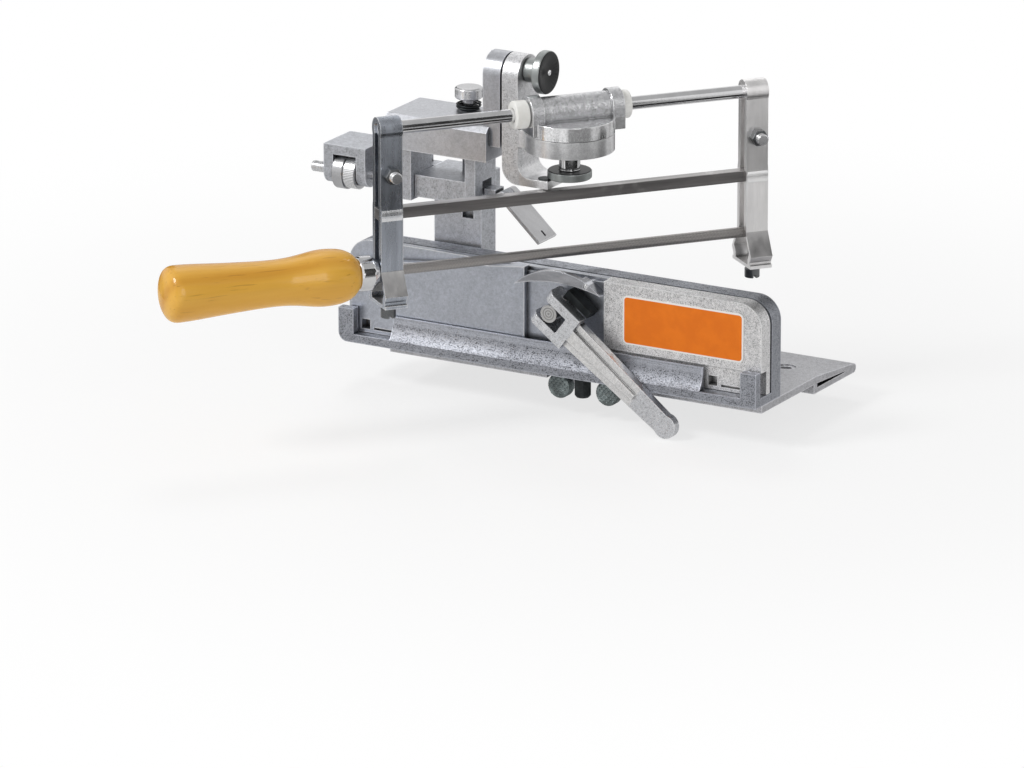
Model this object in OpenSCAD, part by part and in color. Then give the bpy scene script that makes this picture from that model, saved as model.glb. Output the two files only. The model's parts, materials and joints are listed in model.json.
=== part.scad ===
// Bench-mounted chainsaw file guide: a clamping rail, a height post with a tilting swivel arm,
// and a sliding frame that carries a round file.
// +X runs along the rail, +Y away from the user, +Z up.
// The origin lies on the bench face, under the swivel axis and in the plane of the rail groove.

/* [Rail] */
// Length of the clamping rail
rail_l = 218; // [200:1:260]
// Height of the rail above the base plate
rail_h = 47; // [43:0.5:53]
// Thickness of the fixed rear wall of the rail
wall_t = 8.6; // [7:0.1:11]
// Width of the groove between the rear wall and the jaw
groove_w = 1.8; // [1.4:0.1:2.4]
// Distance from the swivel axis back to the middle of the rail's length
rail_shift = 5; // [0:0.5:10]
// Radius of the rail's top corners
rail_corner_r = 11; // [6:0.5:16]
// Thickness of the rail's floor
floor_t = 4; // [3:0.5:6]
// Height of the front apron, measured from the rail's underside
apron_h = 14.5; // [12:0.5:18]
// Thickness of the front apron
apron_t = 4.3; // [4:0.1:5]
// Length of the raised block at each end of the apron
apron_end_l = 8; // [6:0.5:12]

/* [Front jaw] */
// Thickness of the jaw's back slab
jaw_slab_t = 3.2; // [2.6:0.1:4]
// Thickness of the pads on the front of the slab
jaw_pad_t = 5; // [4:0.1:6]
// Thickness of the centre web between the pads
jaw_web_t = 2; // [1.4:0.1:2.8]
// How far the jaw opens
jaw_travel = 0.6; // [0.4:0.05:0.6]
// Width of the left part of the centre recess, from the swivel axis
recess_left = 18.5; // [16:0.5:22]
// Width of the right part of the centre recess, from the swivel axis
recess_right = 23; // [20:0.5:27]
// Fall of the left pad's top edge towards the rail's end
pad_fall = 10; // [4:0.5:12]
// Length of the label plate
label_l = 62; // [50:1:66]
// Height of the label plate
label_h = 23; // [16:0.5:24]
// Thickness of the label plate
label_t = 0.5; // [0.3:0.1:1]

/* [Clamp lever] */
// Length of the lever from its pin to its tip
lever_l = 80; // [72:1:90]
// Angle of the closed lever below the rail
lever_angle = 37; // [30:1:42]
// Width of the lever's arm
lever_w = 10; // [8:0.5:12]
// Thickness of the lever's arm
lever_t = 6; // [5:0.1:8]
// Diameter of the clamp stud
stud_d = 8.2; // [7.6:0.1:9]
// Diameter of the lever's cross pin
lever_pin_d = 4; // [3:0.1:4.5]
// Thickness of each prong of the lever's fork
prong_t = 4.7; // [4.2:0.1:5]
// Radius of the cam on the lever's fork
cam_r = 7.4; // [7:0.1:7.4]

/* [Base plate] */
// Thickness of the base plate
plate_t = 3.5; // [3:0.1:5]
// Height of the base plate's underside above the bench
skirt_h = 4.5; // [4:0.1:7]
// Depth of the base plate from front to back
plate_depth = 91.7; // [86:0.1:100]
// Diameter of the bench bolt holes
bench_hole_d = 6.4; // [5:0.1:8.5]
// Spacing of the bench bolt holes along the rail
bench_hole_pitch = 150; // [120:1:160]
// Diameter of the edge screws' heads
edge_head_d = 11; // [10:0.5:12.5]

/* [Post] */
// Width of the post
post_w = 25; // [22:0.5:28]
// Depth of the post
post_d = 13; // [12:0.5:16]
// Height of the guide block's top above the bench
guide_top = 90; // [88:0.5:91]
// Height of the guide block
guide_h = 10.4; // [10:0.1:11]
// Width of the guide block
guide_w = 27.8; // [27:0.1:29]
// Diameter of the height screw
height_screw_d = 6; // [5:0.1:6.5]

/* [Stop adjuster] */
// Diameter of the adjuster spindle
spindle_d = 4.8; // [4:0.1:5.4]
// Length of the adjuster nut
nut_l = 11.6; // [10:0.1:14]
// Diameter of the adjuster nut's flange
nut_d = 16.8; // [15:0.2:18]
// Width of the stop pawl
pawl_w = 16; // [14:0.5:17]
// Length of the stop pawl
pawl_l = 28.3; // [24:0.1:29]
// Slope of the stop pawl at rest
pawl_slope = 43; // [40:1:48]

/* [Slide housing] */
// Length of the housing along the rail
housing_l = 53.5; // [51:0.5:57]
// Depth of the housing
housing_d = 32; // [30:0.5:35]
// Height of the housing
housing_h = 16; // [14:0.5:18]
// Height of the housing's underside above the bench
housing_z = 103.3; // [102:0.1:105]
// Depth of the guide cheeks
cheek_d = 19; // [17:0.5:20]
// Length of the guide cheeks below the housing
cheek_h = 25; // [22:0.5:25]
// Width of the tilt ear and of the tilt arm
ear_w = 19.4; // [18:0.2:20]
// Thickness of the tilt ear
ear_t = 9; // [8:0.1:10]

/* [Tilt arm] */
// Height of the tilt axis above the bench
tilt_z = 146; // [143:0.5:150]
// Thickness of the tilt arm
arm_t = 8.3; // [7:0.1:9]
// Gap between the tilt ear and the tilt arm
arm_gap = 1; // [0.6:0.1:1.4]
// Diameter of the tilt bolt
tilt_bolt_d = 8; // [6:0.1:9]
// Diameter of the tilt knob
tilt_knob_d = 20; // [17:0.5:22]
// Height of the hook's underside above the bench
hook_z = 94; // [94:0.1:95]
// Thickness of the hook's lower leg
hook_t = 3.6; // [3:0.1:3.6]

/* [Swivel head] */
// Diameter of the turntable discs
disc_d = 41; // [38:0.5:43]
// Thickness of the lower disc
lower_disc_t = 8; // [6:0.1:9]
// Thickness of the upper disc
upper_disc_t = 6.8; // [5:0.1:8]
// Height of the joint between the two discs
disc_z = 120; // [119:0.1:121]
// Reach of the sleeve in front of the swivel axis
sleeve_front = 21; // [19:0.5:24]
// Reach of the sleeve behind the swivel axis
sleeve_rear = 24; // [20:0.5:27]
// Diameter of the sleeve
sleeve_d = 14; // [13:0.1:15]
// Width of the end collars
collar_w = 16.4; // [15.6:0.1:18]
// Length of each end collar
collar_l = 6; // [5:0.1:8]
// Diameter of the bush flanges
bush_d = 13; // [11:0.1:14]
// Length of the front bush's flange
front_flange_l = 6.5; // [4:0.1:9]
// Length of the rear bush's flange
rear_flange_l = 4; // [3:0.1:9]
// Diameter of the bush bodies inside the sleeve
bush_body_d = 9.2; // [8.4:0.1:10]
// Diameter of the swivel stud
swivel_stud_d = 6; // [5:0.1:8]
// Diameter of the turntable clamp knob
clamp_knob_d = 20; // [16:0.5:21]

/* [File frame] */
// Angle of the file to the rail
file_angle = 51; // [48:1:54]
// Height of the guide rod above the bench
rod_z = 130.3; // [129.5:0.1:131.5]
// Diameter of the guide rod
rod_d = 6; // [5:0.1:7]
// Distance from the guide rod down to the flat bar
bar_drop = 39.4; // [39.4:0.1:41]
// Height of the flat bar
bar_h = 5.2; // [4:0.1:5.2]
// Thickness of the flat bar
bar_t = 5.5; // [4:0.1:5.8]
// Distance from the guide rod down to the file
file_drop = 66.6; // [64:0.1:68]
// Diameter of the round file
file_d = 4.8; // [4:0.1:5.4]
// Distance from the swivel axis to the middle of the front bracket
front_reach = 88; // [84:0.1:92]
// Distance from the swivel axis to the middle of the rear bracket
rear_reach = 90.1; // [86:0.1:96]
// Width of the bracket strips
strip_w = 10.8; // [9.6:0.1:13]
// Thickness of the bracket strips
strip_t = 2.6; // [2:0.1:3]
// Diameter of the bracket bolts
frame_bolt_d = 5; // [4:0.1:5.6]
// Diameter of the file screws
file_screw_d = 4; // [3:0.1:5]
// Length of the handle
handle_l = 93; // [86:1:116]
// Largest diameter of the handle
handle_d = 26; // [22:0.5:30]
// Length of the ferrule
ferrule_l = 9.5; // [8:0.1:14]
// Diameter of the ferrule
ferrule_d = 16; // [12:0.5:17]

/* [Clearances] */
// Radial clearance of running fits
fit = 0.05; // [0.03:0.01:0.1]
// Gap between faces that move past each other
gap = 0.3; // [0.3:0.05:0.5]

/* [Hidden] */
$fn = 48;
eps = 0.01;

// Rail and jaw planes
rail_x0 = -rail_shift - rail_l / 2;
rail_x1 = -rail_shift + rail_l / 2;
rail_z = skirt_h + plate_t;
rail_top = rail_z + rail_h;
wall_y0 = groove_w / 2;
wall_y1 = wall_y0 + wall_t;
jaw_back = -groove_w / 2;
slab_y = jaw_back - jaw_slab_t;
pad_y = slab_y - jaw_pad_t;
web_y = slab_y - jaw_web_t;
jaw_z = rail_z + floor_t + gap;
apron_y1 = pad_y - jaw_travel - gap;
apron_y0 = apron_y1 - apron_t;
apron_top = rail_z + apron_h;
pad_z = apron_top + 1;
end_top = apron_top + 1.6;
apron_x1 = rail_x1 - apron_end_l;
cove_r = 12;
cove_y = apron_y0 - 8.4;
cove_z = apron_top - 2;
end_r = 4.5;
notch_l = 21;
left_notch_x = rail_x0 + apron_end_l;
left_notch_l = 19;
notch_z = rail_z + floor_t;
pocket_xs = [left_notch_x + 1.5, apron_x1 - notch_l + 1.5];
ridge_ends = [left_notch_x + left_notch_l, rail_x1];
pocket_w = 4.5;
pocket_z = notch_z + 2;
ridge_t = 1;

// Clamp stud and lever, with the lever frame's L axis along the closed lever
stud_x = 0.3;
stud_z = rail_top - 16;
pin_y = web_y - 8;
arm_back = apron_y0 - gap;
arm_front = arm_back - lever_t;
fork_w = stud_d / 2 + gap;
fork_end = cam_r - 1;
fork_root = 8;
fork_l = 14;
ridge_w0 = 6.2;
ridge_w1 = 2.8;
ridge_end = 55;
ridge_h = 1.6;
tip_r = lever_w / 2 + 0.6;
prong_lean = 0.9;
lever_root_w = lever_w + 4;
cam_block_x0 = -1;
cam_block_x1 = 14.3;
cam_block_w = 4;

// Hood leaf over the lever's fork
hood_t = 2.6;
hood_rise = 9.1;
hood_span = recess_left + recess_right + 4;
hood_x = (recess_right - recess_left - 4) / 2;
hood_z = rail_top - 7;
hood_r = (hood_span * hood_span / 4 + hood_rise * hood_rise) / (2 * hood_rise);
hood_sag = 3.6;
hood_inner_r = (hood_span * hood_span / 4 + hood_sag * hood_sag) / (2 * hood_sag);
hood_lug_l = 11;
hood_rivet_r = 1.2;
hood_rivet_x = recess_right - 8;
hood_rivet_z = hood_z + hood_sag + 0.25;
web_top = rail_top - 1.5;

// Label plate
label_x = recess_right + 10;
label_z = pad_z + 3.6;
label_r = 2.4;

// Base plate
post_x0 = -78;
plate_x0 = post_x0 - 12;
plate_x1 = rail_x1;
plate_y0 = apron_y0 + 6;
nose_r = 2.2;
nose_y = plate_y0 + plate_depth - nose_r;
slope_l = 36;
knee_y = nose_y - slope_l;
rib_t = 3;
sole_h = 2.6;
bench_hole_x = 8;
bench_hole_y = knee_y + 8.4;
seat_r = bench_hole_d / 2 + 2;
seat_z = rail_z - 1.8;
edge_pitch = 25;
edge_x = -0.6;
edge_z = rail_z - edge_head_d / 2 - 0.8;
edge_head_l = 5;
edge_y = apron_y0 + 5.4;
edge_shank_r = 3;
edge_boss_r = 4.4;
edge_boss_l = 6;
edge_shank_l = 12;
rail_bolt_af = 7.4;
rail_bolt_x = edge_x + edge_pitch / 2;
rail_bolt_y = edge_y + edge_head_l - rail_bolt_af / 2 - 1;
rail_bolt_h = 9.5;
rail_bolt_r = 2.5;
plate_screw_r = 2.5;
plate_screw_y = wall_y0 + wall_t / 2;
plate_screw_end = 34;
plate_screw_mid = 80;
plate_screw_right = 20;
plate_screw_xs = [rail_x0 + plate_screw_end, rail_x0 + plate_screw_mid, rail_x1 - plate_screw_right];
plate_screw_grip = 10;
plate_head_r = 4.5;
plate_head_t = 3;

// Guide pins of the jaw
jaw_pin_r = 2;
jaw_pin_z = rail_z + 10;
jaw_pin_left = 26;
jaw_pin_right = 36;
jaw_pin_xs = [rail_x0 + jaw_pin_left, rail_x1 - jaw_pin_right];
jaw_pin_grip = 6;
jaw_pin_l = jaw_slab_t + groove_w + jaw_pin_grip;

// Post, guide block and stop adjuster
post_x1 = post_x0 + post_w;
post_y0 = wall_y1 + 2.5;
post_y1 = post_y0 + post_d;
guide_x1 = post_x1 + 2.4;
guide_x0 = guide_x1 - guide_w;
guide_y0 = -5;
guide_z = guide_top - guide_h;
foot_side = 4;
foot_t = 3.5;
post_screw_r = 2.5;
post_screw_grip = 12;
height_travel = 3;
spindle_y = 3;
spindle_z = guide_z + 4.6;
spindle_r = spindle_d / 2;
bracket_x1 = guide_x0 - 27.6;
lug_t = 5;
bracket_x0 = bracket_x1 - 2 * lug_t - nut_l - 2 * gap;
lug_r = 6;
nut_grip_r = nut_d / 2 - 1;
nut_flange_l = nut_l * 0.48;
bridge_z = spindle_z + nut_d / 2 + 0.4;
bridge_t = 4.6;
bridge_y1 = post_y0 + 9;
bridge_y0 = spindle_y - lug_r;
spindle_x0 = bracket_x0 - 9;

// Slide housing, with its guide cheeks either side of the guide block
cheek_gap = gap;
cheek_y0 = guide_y0 - 3;
left_cheek_t = 4.6;
right_cheek_t = 5.4;
left_cheek_x = guide_x0 - cheek_gap - left_cheek_t;
right_cheek_x = guide_x1 + cheek_gap;
ear_x0 = right_cheek_x + right_cheek_t + 5;
ear_x1 = ear_x0 + ear_t;
ear_z = housing_z + 7;
ear_fall = 2.5;
housing_x1 = ear_x0 + 3.5;
housing_x0 = housing_x1 - housing_l;
housing_y0 = -ear_w / 2 - 3;
housing_top = housing_z + housing_h;
cheek_slot_h = spindle_d + 2 * (height_travel + gap);
pawl_bar_h = 6;
pawl_bar_d = 8;
pawl_slot_h = pawl_bar_h + 2 * (height_travel + gap);
height_screw_x = guide_x1 - 9.6;
height_screw_y = post_y0 + 1;
height_screw_r = height_screw_d / 2;
height_head_r = 6.4;
height_head_h = 5.4;
height_bevel = 0.6;
height_neck = 5.2;
height_tip = guide_z + 3;

// Pawl bar and pawl
pawl_bar_x0 = right_cheek_x + right_cheek_t + gap + 0.6;
pawl_bar_l = 5.7;
pawl_bar_y = spindle_y - pawl_bar_d / 2;
pawl_bar_z = spindle_z - pawl_bar_h / 2;
knuckle_r = 2.6;
pawl_reach = knuckle_r + 0.5;
pawl_pin_x = pawl_bar_x0 + pawl_bar_l + pawl_reach;
pawl_pin_y = spindle_y;
pawl_pin_r = 1.3;
middle_knuckle = pawl_w * 0.44;
side_knuckle = (pawl_w - middle_knuckle) / 2 - gap;
pawl_t = 1.6;
pawl_slot_w = 1.4;
pawl_slot_l = 3;
pawl_slot_end = 2;

// Tilt arm
arm_x0 = ear_x1 + arm_gap;
arm_x1 = arm_x0 + arm_t;
arm_r = ear_w / 2;
tilt_bolt_r = tilt_bolt_d / 2;
tilt_hub_r = 5.6;
tilt_hub_l = 6.4;
tilt_rim_l = 4.2;
tilt_dish_t = 1.5;
hook_x1 = -6;
hook_out_r = 8;
hook_in_r = 6;
hook_top = hook_z + hook_t;
lower_disc_z = disc_z - lower_disc_t;
rest_screw_r = 2.5;
rest_screw_x = hook_x1 - 4;
rest_head_t = 0.7;

// Swivel head
upper_disc_z = disc_z + gap / 3;
upper_disc_top = upper_disc_z + upper_disc_t;
collar_z = disc_z + 1;
knob_hub_r = 4.8;
knob_rim_h = 3.9;
knob_z = hook_top + 0.8;
knob_top = lower_disc_z - gap;
bush_body_l = 14;
swivel_stud_r = swivel_stud_d / 2;

// File frame: a bracket strip wraps the rod, grips the bar and opens into a loop round the file
rod_r = rod_d / 2;
leg = rod_r + strip_t;
leg_w = bar_t / 2 + strip_t;
pinch_w = min(leg, leg_w) - 0.55;
step_h = 2.9;
bolt_drop = 20.5;
flare_drop = file_drop - 1.2;
loop_w = leg_w + 6;
loop_drop = flare_drop + 10.6;
chin_drop = loop_drop + 2.8;
chin_w = loop_w - 1.7;
sole_drop = chin_drop + 3;
sole_t = 1.6;
lip_w = chin_w + 0.9;
front_u = -front_reach;
rear_u = rear_reach;
frame_u0 = front_u - strip_w / 2;
frame_u1 = rear_u + strip_w / 2;
bolt_af = 7;
bolt_end = 3.4;
bolt_nut_t = 4;
bolt_head_t = 3.5;
file_screw_l = 15;
cheese_d = 7;
cheese_h = 4.4;
slot_w = 1.1;
slot_depth = 1.6;
ferrule_u = frame_u0 - gap - ferrule_l;
tang_r = 1.6;

// Places a shape in the frame of the file: u along the file, away from the user
module along_file() {
  rotate([0, 0, file_angle]) children();
}

// Turns a shape drawn in the X-Z plane so that it fills y0 to y1
module fill_y(y0, y1) {
  translate([0, y1, 0]) rotate([90, 0, 0]) linear_extrude(y1 - y0) children();
}

// Turns a shape drawn in the Y-Z plane so that it fills x0 to x1
module fill_x(x0, x1) {
  translate([x0, 0, 0]) rotate([90, 0, 90]) linear_extrude(x1 - x0) children();
}

// A box from one corner to the opposite one
module block(a, b) {
  translate(a) cube(b - a);
}

// Rods along the three axes
module round_x(x0, x1, r) {
  translate([x0, 0, 0]) rotate([0, 90, 0]) cylinder(h = x1 - x0, r = r);
}

module round_y(y0, y1, r) {
  translate([0, y0, 0]) rotate([-90, 0, 0]) cylinder(h = y1 - y0, r = r);
}

module round_z(z0, z1, r) {
  translate([0, 0, z0]) cylinder(h = z1 - z0, r = r);
}

// A hexagonal bar along Z, sized across its flats
module hex_z(z0, z1, af) {
  translate([0, 0, z0]) cylinder(h = z1 - z0, r = af / sqrt(3), $fn = 6);
}

// Outline of the rail seen from the front, with its two top corners rounded
module rail_outline(x0, x1, z0, z1, r) {
  difference() {
    translate([x0, z0]) square([x1 - x0, z1 - z0]);
    translate([x0 - eps, z1 - r]) square([r + eps, r + eps]);
    translate([x1 - r, z1 - r]) square([r + eps, r + eps]);
  }
  intersection() {
    translate([x0, z0]) square([x1 - x0, z1 - z0]);
    union() {
      translate([x0 + r, z1 - r]) circle(r);
      translate([x1 - r, z1 - r]) circle(r);
    }
  }
}

// A rectangle with four round corners
module round_rect(w, h, r) {
  translate([r, 0]) square([w - 2 * r, h]);
  translate([0, r]) square([w, h - 2 * r]);
  for (x = [r, w - r], y = [r, h - r]) translate([x, y]) circle(r);
}

// Fixed rear wall, floor and front apron in one casting
module rail_body() {
  color("silver") difference() {
    union() {
      fill_y(wall_y0, wall_y1) rail_outline(rail_x0, rail_x1, rail_z, rail_top, rail_corner_r);
      block([rail_x0, apron_y0, rail_z], [rail_x1, wall_y1, rail_z + floor_t]);
      block([rail_x0, apron_y0, rail_z], [rail_x1, apron_y1, apron_top]);
      for (x = [rail_x0, apron_x1])
        block([x, apron_y0, rail_z], [x + apron_end_l, apron_y1, end_top]);
    }
    translate([0, cove_y, cove_z]) round_x(left_notch_x, apron_x1, cove_r, $fn = 96);
    block([left_notch_x, apron_y0 - 1, notch_z], [left_notch_x + left_notch_l, apron_y1 + eps, end_top + 1]);
    block([apron_x1 - notch_l, apron_y0 - 1, notch_z], [apron_x1, apron_y1 + eps, end_top + 1]);
    fill_y(apron_y0 - 1, apron_y1) difference() {
      translate([rail_x0 - 1, rail_z - 1]) square(end_r + 1);
      translate([rail_x0 + end_r, rail_z + end_r]) circle(end_r);
    }
    translate([stud_x, 0, stud_z]) round_y(wall_y0 - 1, wall_y1 + 1, stud_d / 2);
    for (x = jaw_pin_xs)
      translate([x, 0, jaw_pin_z]) round_y(wall_y0 - 1, wall_y0 + jaw_pin_grip, jaw_pin_r);
    for (x = plate_screw_xs)
      translate([x, plate_screw_y, 0]) round_z(rail_z - 1, rail_z + plate_screw_grip, plate_screw_r);
    translate([rail_bolt_x, rail_bolt_y, 0]) round_z(rail_z - 1, rail_z + floor_t + 1, rail_bolt_r);
  }
}

// Section of the base plate along X: a flat front, then a slope over a sole with a round nose
module plate_section() {
  difference() {
    union() {
      polygon([
        [plate_y0, rail_z], [knee_y, rail_z], [nose_y, 2 * nose_r], [nose_y, 0],
        [knee_y - rib_t, 0], [knee_y - rib_t, skirt_h], [plate_y0, skirt_h]
      ]);
      translate([nose_y, nose_r]) circle(nose_r);
    }
    polygon([
      [knee_y, sole_h], [knee_y, rail_z - plate_t], [knee_y + 0.5, rail_z - plate_t],
      [nose_y - 9, sole_h + 0.4], [nose_y - 10, sole_h]
    ]);
  }
}

// Base plate with the bosses of the edge screws under its front
module base_plate() {
  head_back = edge_y + edge_head_l + gap;
  color("gainsboro") difference() {
    union() {
      difference() {
        fill_x(plate_x0, plate_x1) plate_section();
        block([edge_x - edge_head_d / 2 - 1, plate_y0 - 1, skirt_h - 1],
              [edge_x + edge_pitch + edge_head_d / 2 + 1, head_back, rail_z + 1]);
      }
      for (i = [0, 1]) translate([edge_x + i * edge_pitch, 0, edge_z]) {
        round_y(head_back, head_back + edge_boss_l, edge_boss_r);
        block([-edge_boss_r, head_back, 0],
              [edge_boss_r, head_back + edge_boss_l, rail_z - plate_t / 2 - edge_z]);
      }
    }
    for (s = [-1, 1]) translate([bench_hole_x + s * bench_hole_pitch / 2, bench_hole_y, 0]) {
      round_z(-1, rail_z + 1, bench_hole_d / 2);
      round_z(seat_z, rail_z + 1, seat_r);
    }
    for (i = [0, 1]) translate([edge_x + i * edge_pitch, 0, edge_z])
      round_y(edge_y, edge_y + edge_head_l + edge_shank_l + 1, edge_shank_r + fit);
    for (x = plate_screw_xs) translate([x, plate_screw_y, 0]) round_z(0, rail_z + 1, plate_screw_r);
    for (x = [post_x0 - foot_side / 2, post_x1 + foot_side / 2])
      translate([x, post_y0 + post_d / 2, 0]) round_z(0, rail_z + 1, post_screw_r);
  }
}

// Dark hexagon bolt under the front of the rail, with a chamfered end
module rail_bolt() {
  color("dimgray") translate([rail_bolt_x, rail_bolt_y, 0]) {
    round_z(rail_z - eps, rail_z + floor_t, rail_bolt_r);
    intersection() {
      hex_z(rail_z - rail_bolt_h, rail_z, rail_bolt_af);
      translate([0, 0, rail_z - rail_bolt_h])
        cylinder(h = rail_bolt_h, r1 = rail_bolt_af * 0.4, r2 = rail_bolt_af * 1.4);
    }
  }
}

// Three screws that hold the rail to the base plate from below
module plate_screws() {
  color("dimgray") for (x = plate_screw_xs) translate([x, plate_screw_y, 0]) {
    round_z(skirt_h, rail_z + plate_screw_grip, plate_screw_r);
    round_z(skirt_h - plate_head_t, skirt_h, plate_head_r);
  }
}

// Two pins on which the jaw slides
module jaw_pins() {
  color("lightslategray") for (x = jaw_pin_xs) translate([x, 0, jaw_pin_z])
    round_y(wall_y0 + jaw_pin_grip - jaw_pin_l, wall_y0 + jaw_pin_grip, jaw_pin_r);
}

// Stud that draws the jaw to the rail, with a cross hole for the lever's pin
module clamp_stud() {
  color("lightgray") difference() {
    translate([stud_x, 0, stud_z]) round_y(arm_front + 0.6, wall_y1 + 6, stud_d / 2);
    lever_frame() round_z(-stud_d, stud_d, lever_pin_d / 2 + fit);
  }
}

// Hexagon nut on the back of the rail
module stud_nut() {
  color("silver") translate([stud_x, 0, stud_z]) rotate([-90, 0, 0]) difference() {
    hex_z(wall_y1, wall_y1 + 5, 14);
    round_z(wall_y1 - 1, wall_y1 + 7, stud_d / 2);
  }
}

// One knurled screw that bears on the bench's front edge
module edge_screw(i) {
  color("darkslategray") translate([edge_x + i * edge_pitch, 0, edge_z]) {
    round_y(edge_y, edge_y + edge_head_l, edge_head_d / 2);
    round_y(edge_y + edge_head_l - eps, edge_y + edge_head_l + edge_shank_l, edge_shank_r);
  }
}

module edge_screw_left() { edge_screw(0); }

module edge_screw_right() { edge_screw(1); }

// Post with its foot, and the guide block that reaches forward over the rail
module column_post() {
  color("silver") difference() {
    union() {
      block([post_x0, post_y0, rail_z], [post_x1, post_y1, guide_top]);
      block([post_x0 - foot_side, post_y0, rail_z], [post_x1 + foot_side, post_y1, rail_z + foot_t]);
      block([guide_x0, guide_y0, guide_z], [guide_x1, post_y1, guide_top]);
    }
    translate([0, spindle_y, spindle_z]) round_x(guide_x0 - 1, guide_x1 + 1, spindle_r + fit);
    translate([height_screw_x, height_screw_y, 0])
      round_z(guide_z - post_screw_grip, guide_top + 1, height_screw_r + fit);
    for (x = [post_x0 - foot_side / 2, post_x1 + foot_side / 2])
      translate([x, post_y0 + post_d / 2, 0]) round_z(rail_z - 1, rail_z + foot_t + 1, post_screw_r);
  }
}

// Two screws through the post's foot
module post_screws() {
  color("dimgray") for (x = [post_x0 - foot_side / 2, post_x1 + foot_side / 2])
    translate([x, post_y0 + post_d / 2, 0]) {
      round_z(skirt_h, rail_z + foot_t, post_screw_r);
      round_z(skirt_h - plate_head_t, skirt_h, plate_head_r);
    }
}

// Outline of one bracket lug, with a round lower end about the spindle
module lug_outline() {
  translate([spindle_y, spindle_z]) circle(lug_r);
  translate([spindle_y - lug_r, spindle_z]) square([2 * lug_r, bridge_z + eps - spindle_z]);
}

// Inverted-U bracket on the post that traps the adjuster nut between two lugs
module adjuster_bracket() {
  color("lightgray") difference() {
    union() {
      block([bracket_x0, bridge_y0, bridge_z], [bracket_x1, bridge_y1, bridge_z + bridge_t]);
      block([bracket_x1 - eps, post_y0 + 1, guide_z],
            [left_cheek_x - cheek_gap, bridge_y1, bridge_z + bridge_t]);
      block([bracket_x1 - eps, post_y0 + 1, guide_z], [guide_x0, bridge_y1, guide_top]);
      fill_x(bracket_x0, bracket_x0 + lug_t) lug_outline();
      fill_x(bracket_x1 - lug_t, bracket_x1) lug_outline();
    }
    translate([0, spindle_y, spindle_z]) round_x(bracket_x0 - 1, bracket_x1 + 1, spindle_r + fit);
  }
}

// Moving jaw: a back slab with a sloping left pad, a plain centre and a block on the right
module front_jaw() {
  left_end = rail_x0 + apron_end_l / 2;
  pad_top = rail_top + 0.7;
  color("silver") difference() {
    union() {
      fill_y(slab_y, jaw_back) rail_outline(rail_x0, rail_x1, jaw_z, rail_top, rail_corner_r);
      fill_y(pad_y, slab_y + eps) polygon([
        [left_end, jaw_z], [-recess_left, jaw_z], [-recess_left, pad_top], [left_end, pad_top - pad_fall]
      ]);
      fill_y(web_y, slab_y + eps) translate([-recess_left - eps, jaw_z])
        square([recess_left + recess_right + 2 * eps, web_top - jaw_z]);
      fill_y(pad_y, slab_y + eps) intersection() {
        rail_outline(rail_x0, rail_x1, jaw_z, rail_top, rail_corner_r);
        translate([recess_right, pad_z]) square([rail_x1 - recess_right, rail_h]);
      }
      fill_y(pad_y + ridge_t, slab_y + eps) translate([recess_right, jaw_z])
        square([apron_x1 - gap - recess_right, pad_z - jaw_z + eps]);
    }
    for (i = [0, 1]) {
      pocket_x = pocket_xs[i];
      block([pocket_x, pad_y - 1, pocket_z], [pocket_x + pocket_w, slab_y, pocket_z + pocket_w]);
      block([pocket_x + pocket_w + 2, pad_y - 1, pocket_z],
            [ridge_ends[i], pad_y + 2 * ridge_t, pocket_z + ridge_t]);
    }
    translate([stud_x, 0, stud_z]) round_y(pad_y - 1, jaw_back + 1, stud_d / 2 + gap);
    for (x = jaw_pin_xs)
      translate([x, 0, jaw_pin_z]) round_y(slab_y - 2, jaw_back + 1, jaw_pin_r + fit);
    translate([hood_rivet_x, 0, hood_rivet_z]) round_y(web_y - 1, jaw_back + 1, hood_rivet_r);
  }
}

// Thin label plate on the right block
module label_plate() {
  color("darkorange") fill_y(pad_y - label_t, pad_y) translate([label_x, label_z])
    round_rect(label_l, label_h, label_r);
}

// Crescent of the hood leaf, seen from the front
module hood_outline() {
  difference() {
    translate([hood_x, hood_z + hood_rise - hood_r]) circle(hood_r, $fn = 96);
    translate([hood_x, hood_z + hood_sag - hood_inner_r]) circle(hood_inner_r, $fn = 96);
    translate([recess_right - gap, hood_z - hood_r]) square([hood_r, 3 * hood_r]);
  }
}

// Curved steel leaf that covers the lever's fork, riveted to the jaw's centre
module hood_leaf() {
  color("slategray") difference() {
    union() {
      fill_y(pad_y - gap - hood_t, pad_y - gap) hood_outline();
      fill_y(pad_y - gap - eps, web_y) intersection() {
        hood_outline();
        translate([recess_right - hood_lug_l, hood_z]) square([hood_lug_l - gap, hood_rise]);
      }
    }
    translate([hood_rivet_x, 0, hood_rivet_z]) round_y(pad_y - 3 * hood_t, web_y + 1, hood_rivet_r);
  }
}

// Flush rivet through the hood leaf and the jaw
module hood_rivet() {
  color("lightgray") translate([hood_rivet_x, 0, hood_rivet_z])
    round_y(pad_y - gap - hood_t, jaw_back - gap, hood_rivet_r);
}

// Frame of the closed lever: X along the lever, Y as the part's, Z across the fork
module lever_frame() {
  translate([stud_x, pin_y, stud_z]) rotate([0, lever_angle, 0]) children();
}

// Side view of one prong: a cam about the pin that runs into the arm
module prong_outline() {
  back = arm_back - pin_y;
  front = arm_front - pin_y;
  intersection() {
    union() {
      circle(cam_r);
      translate([0, front]) square([fork_l, back - front]);
    }
    translate([-fork_end, front]) square([fork_l + fork_end, cam_r - front]);
  }
}

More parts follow.
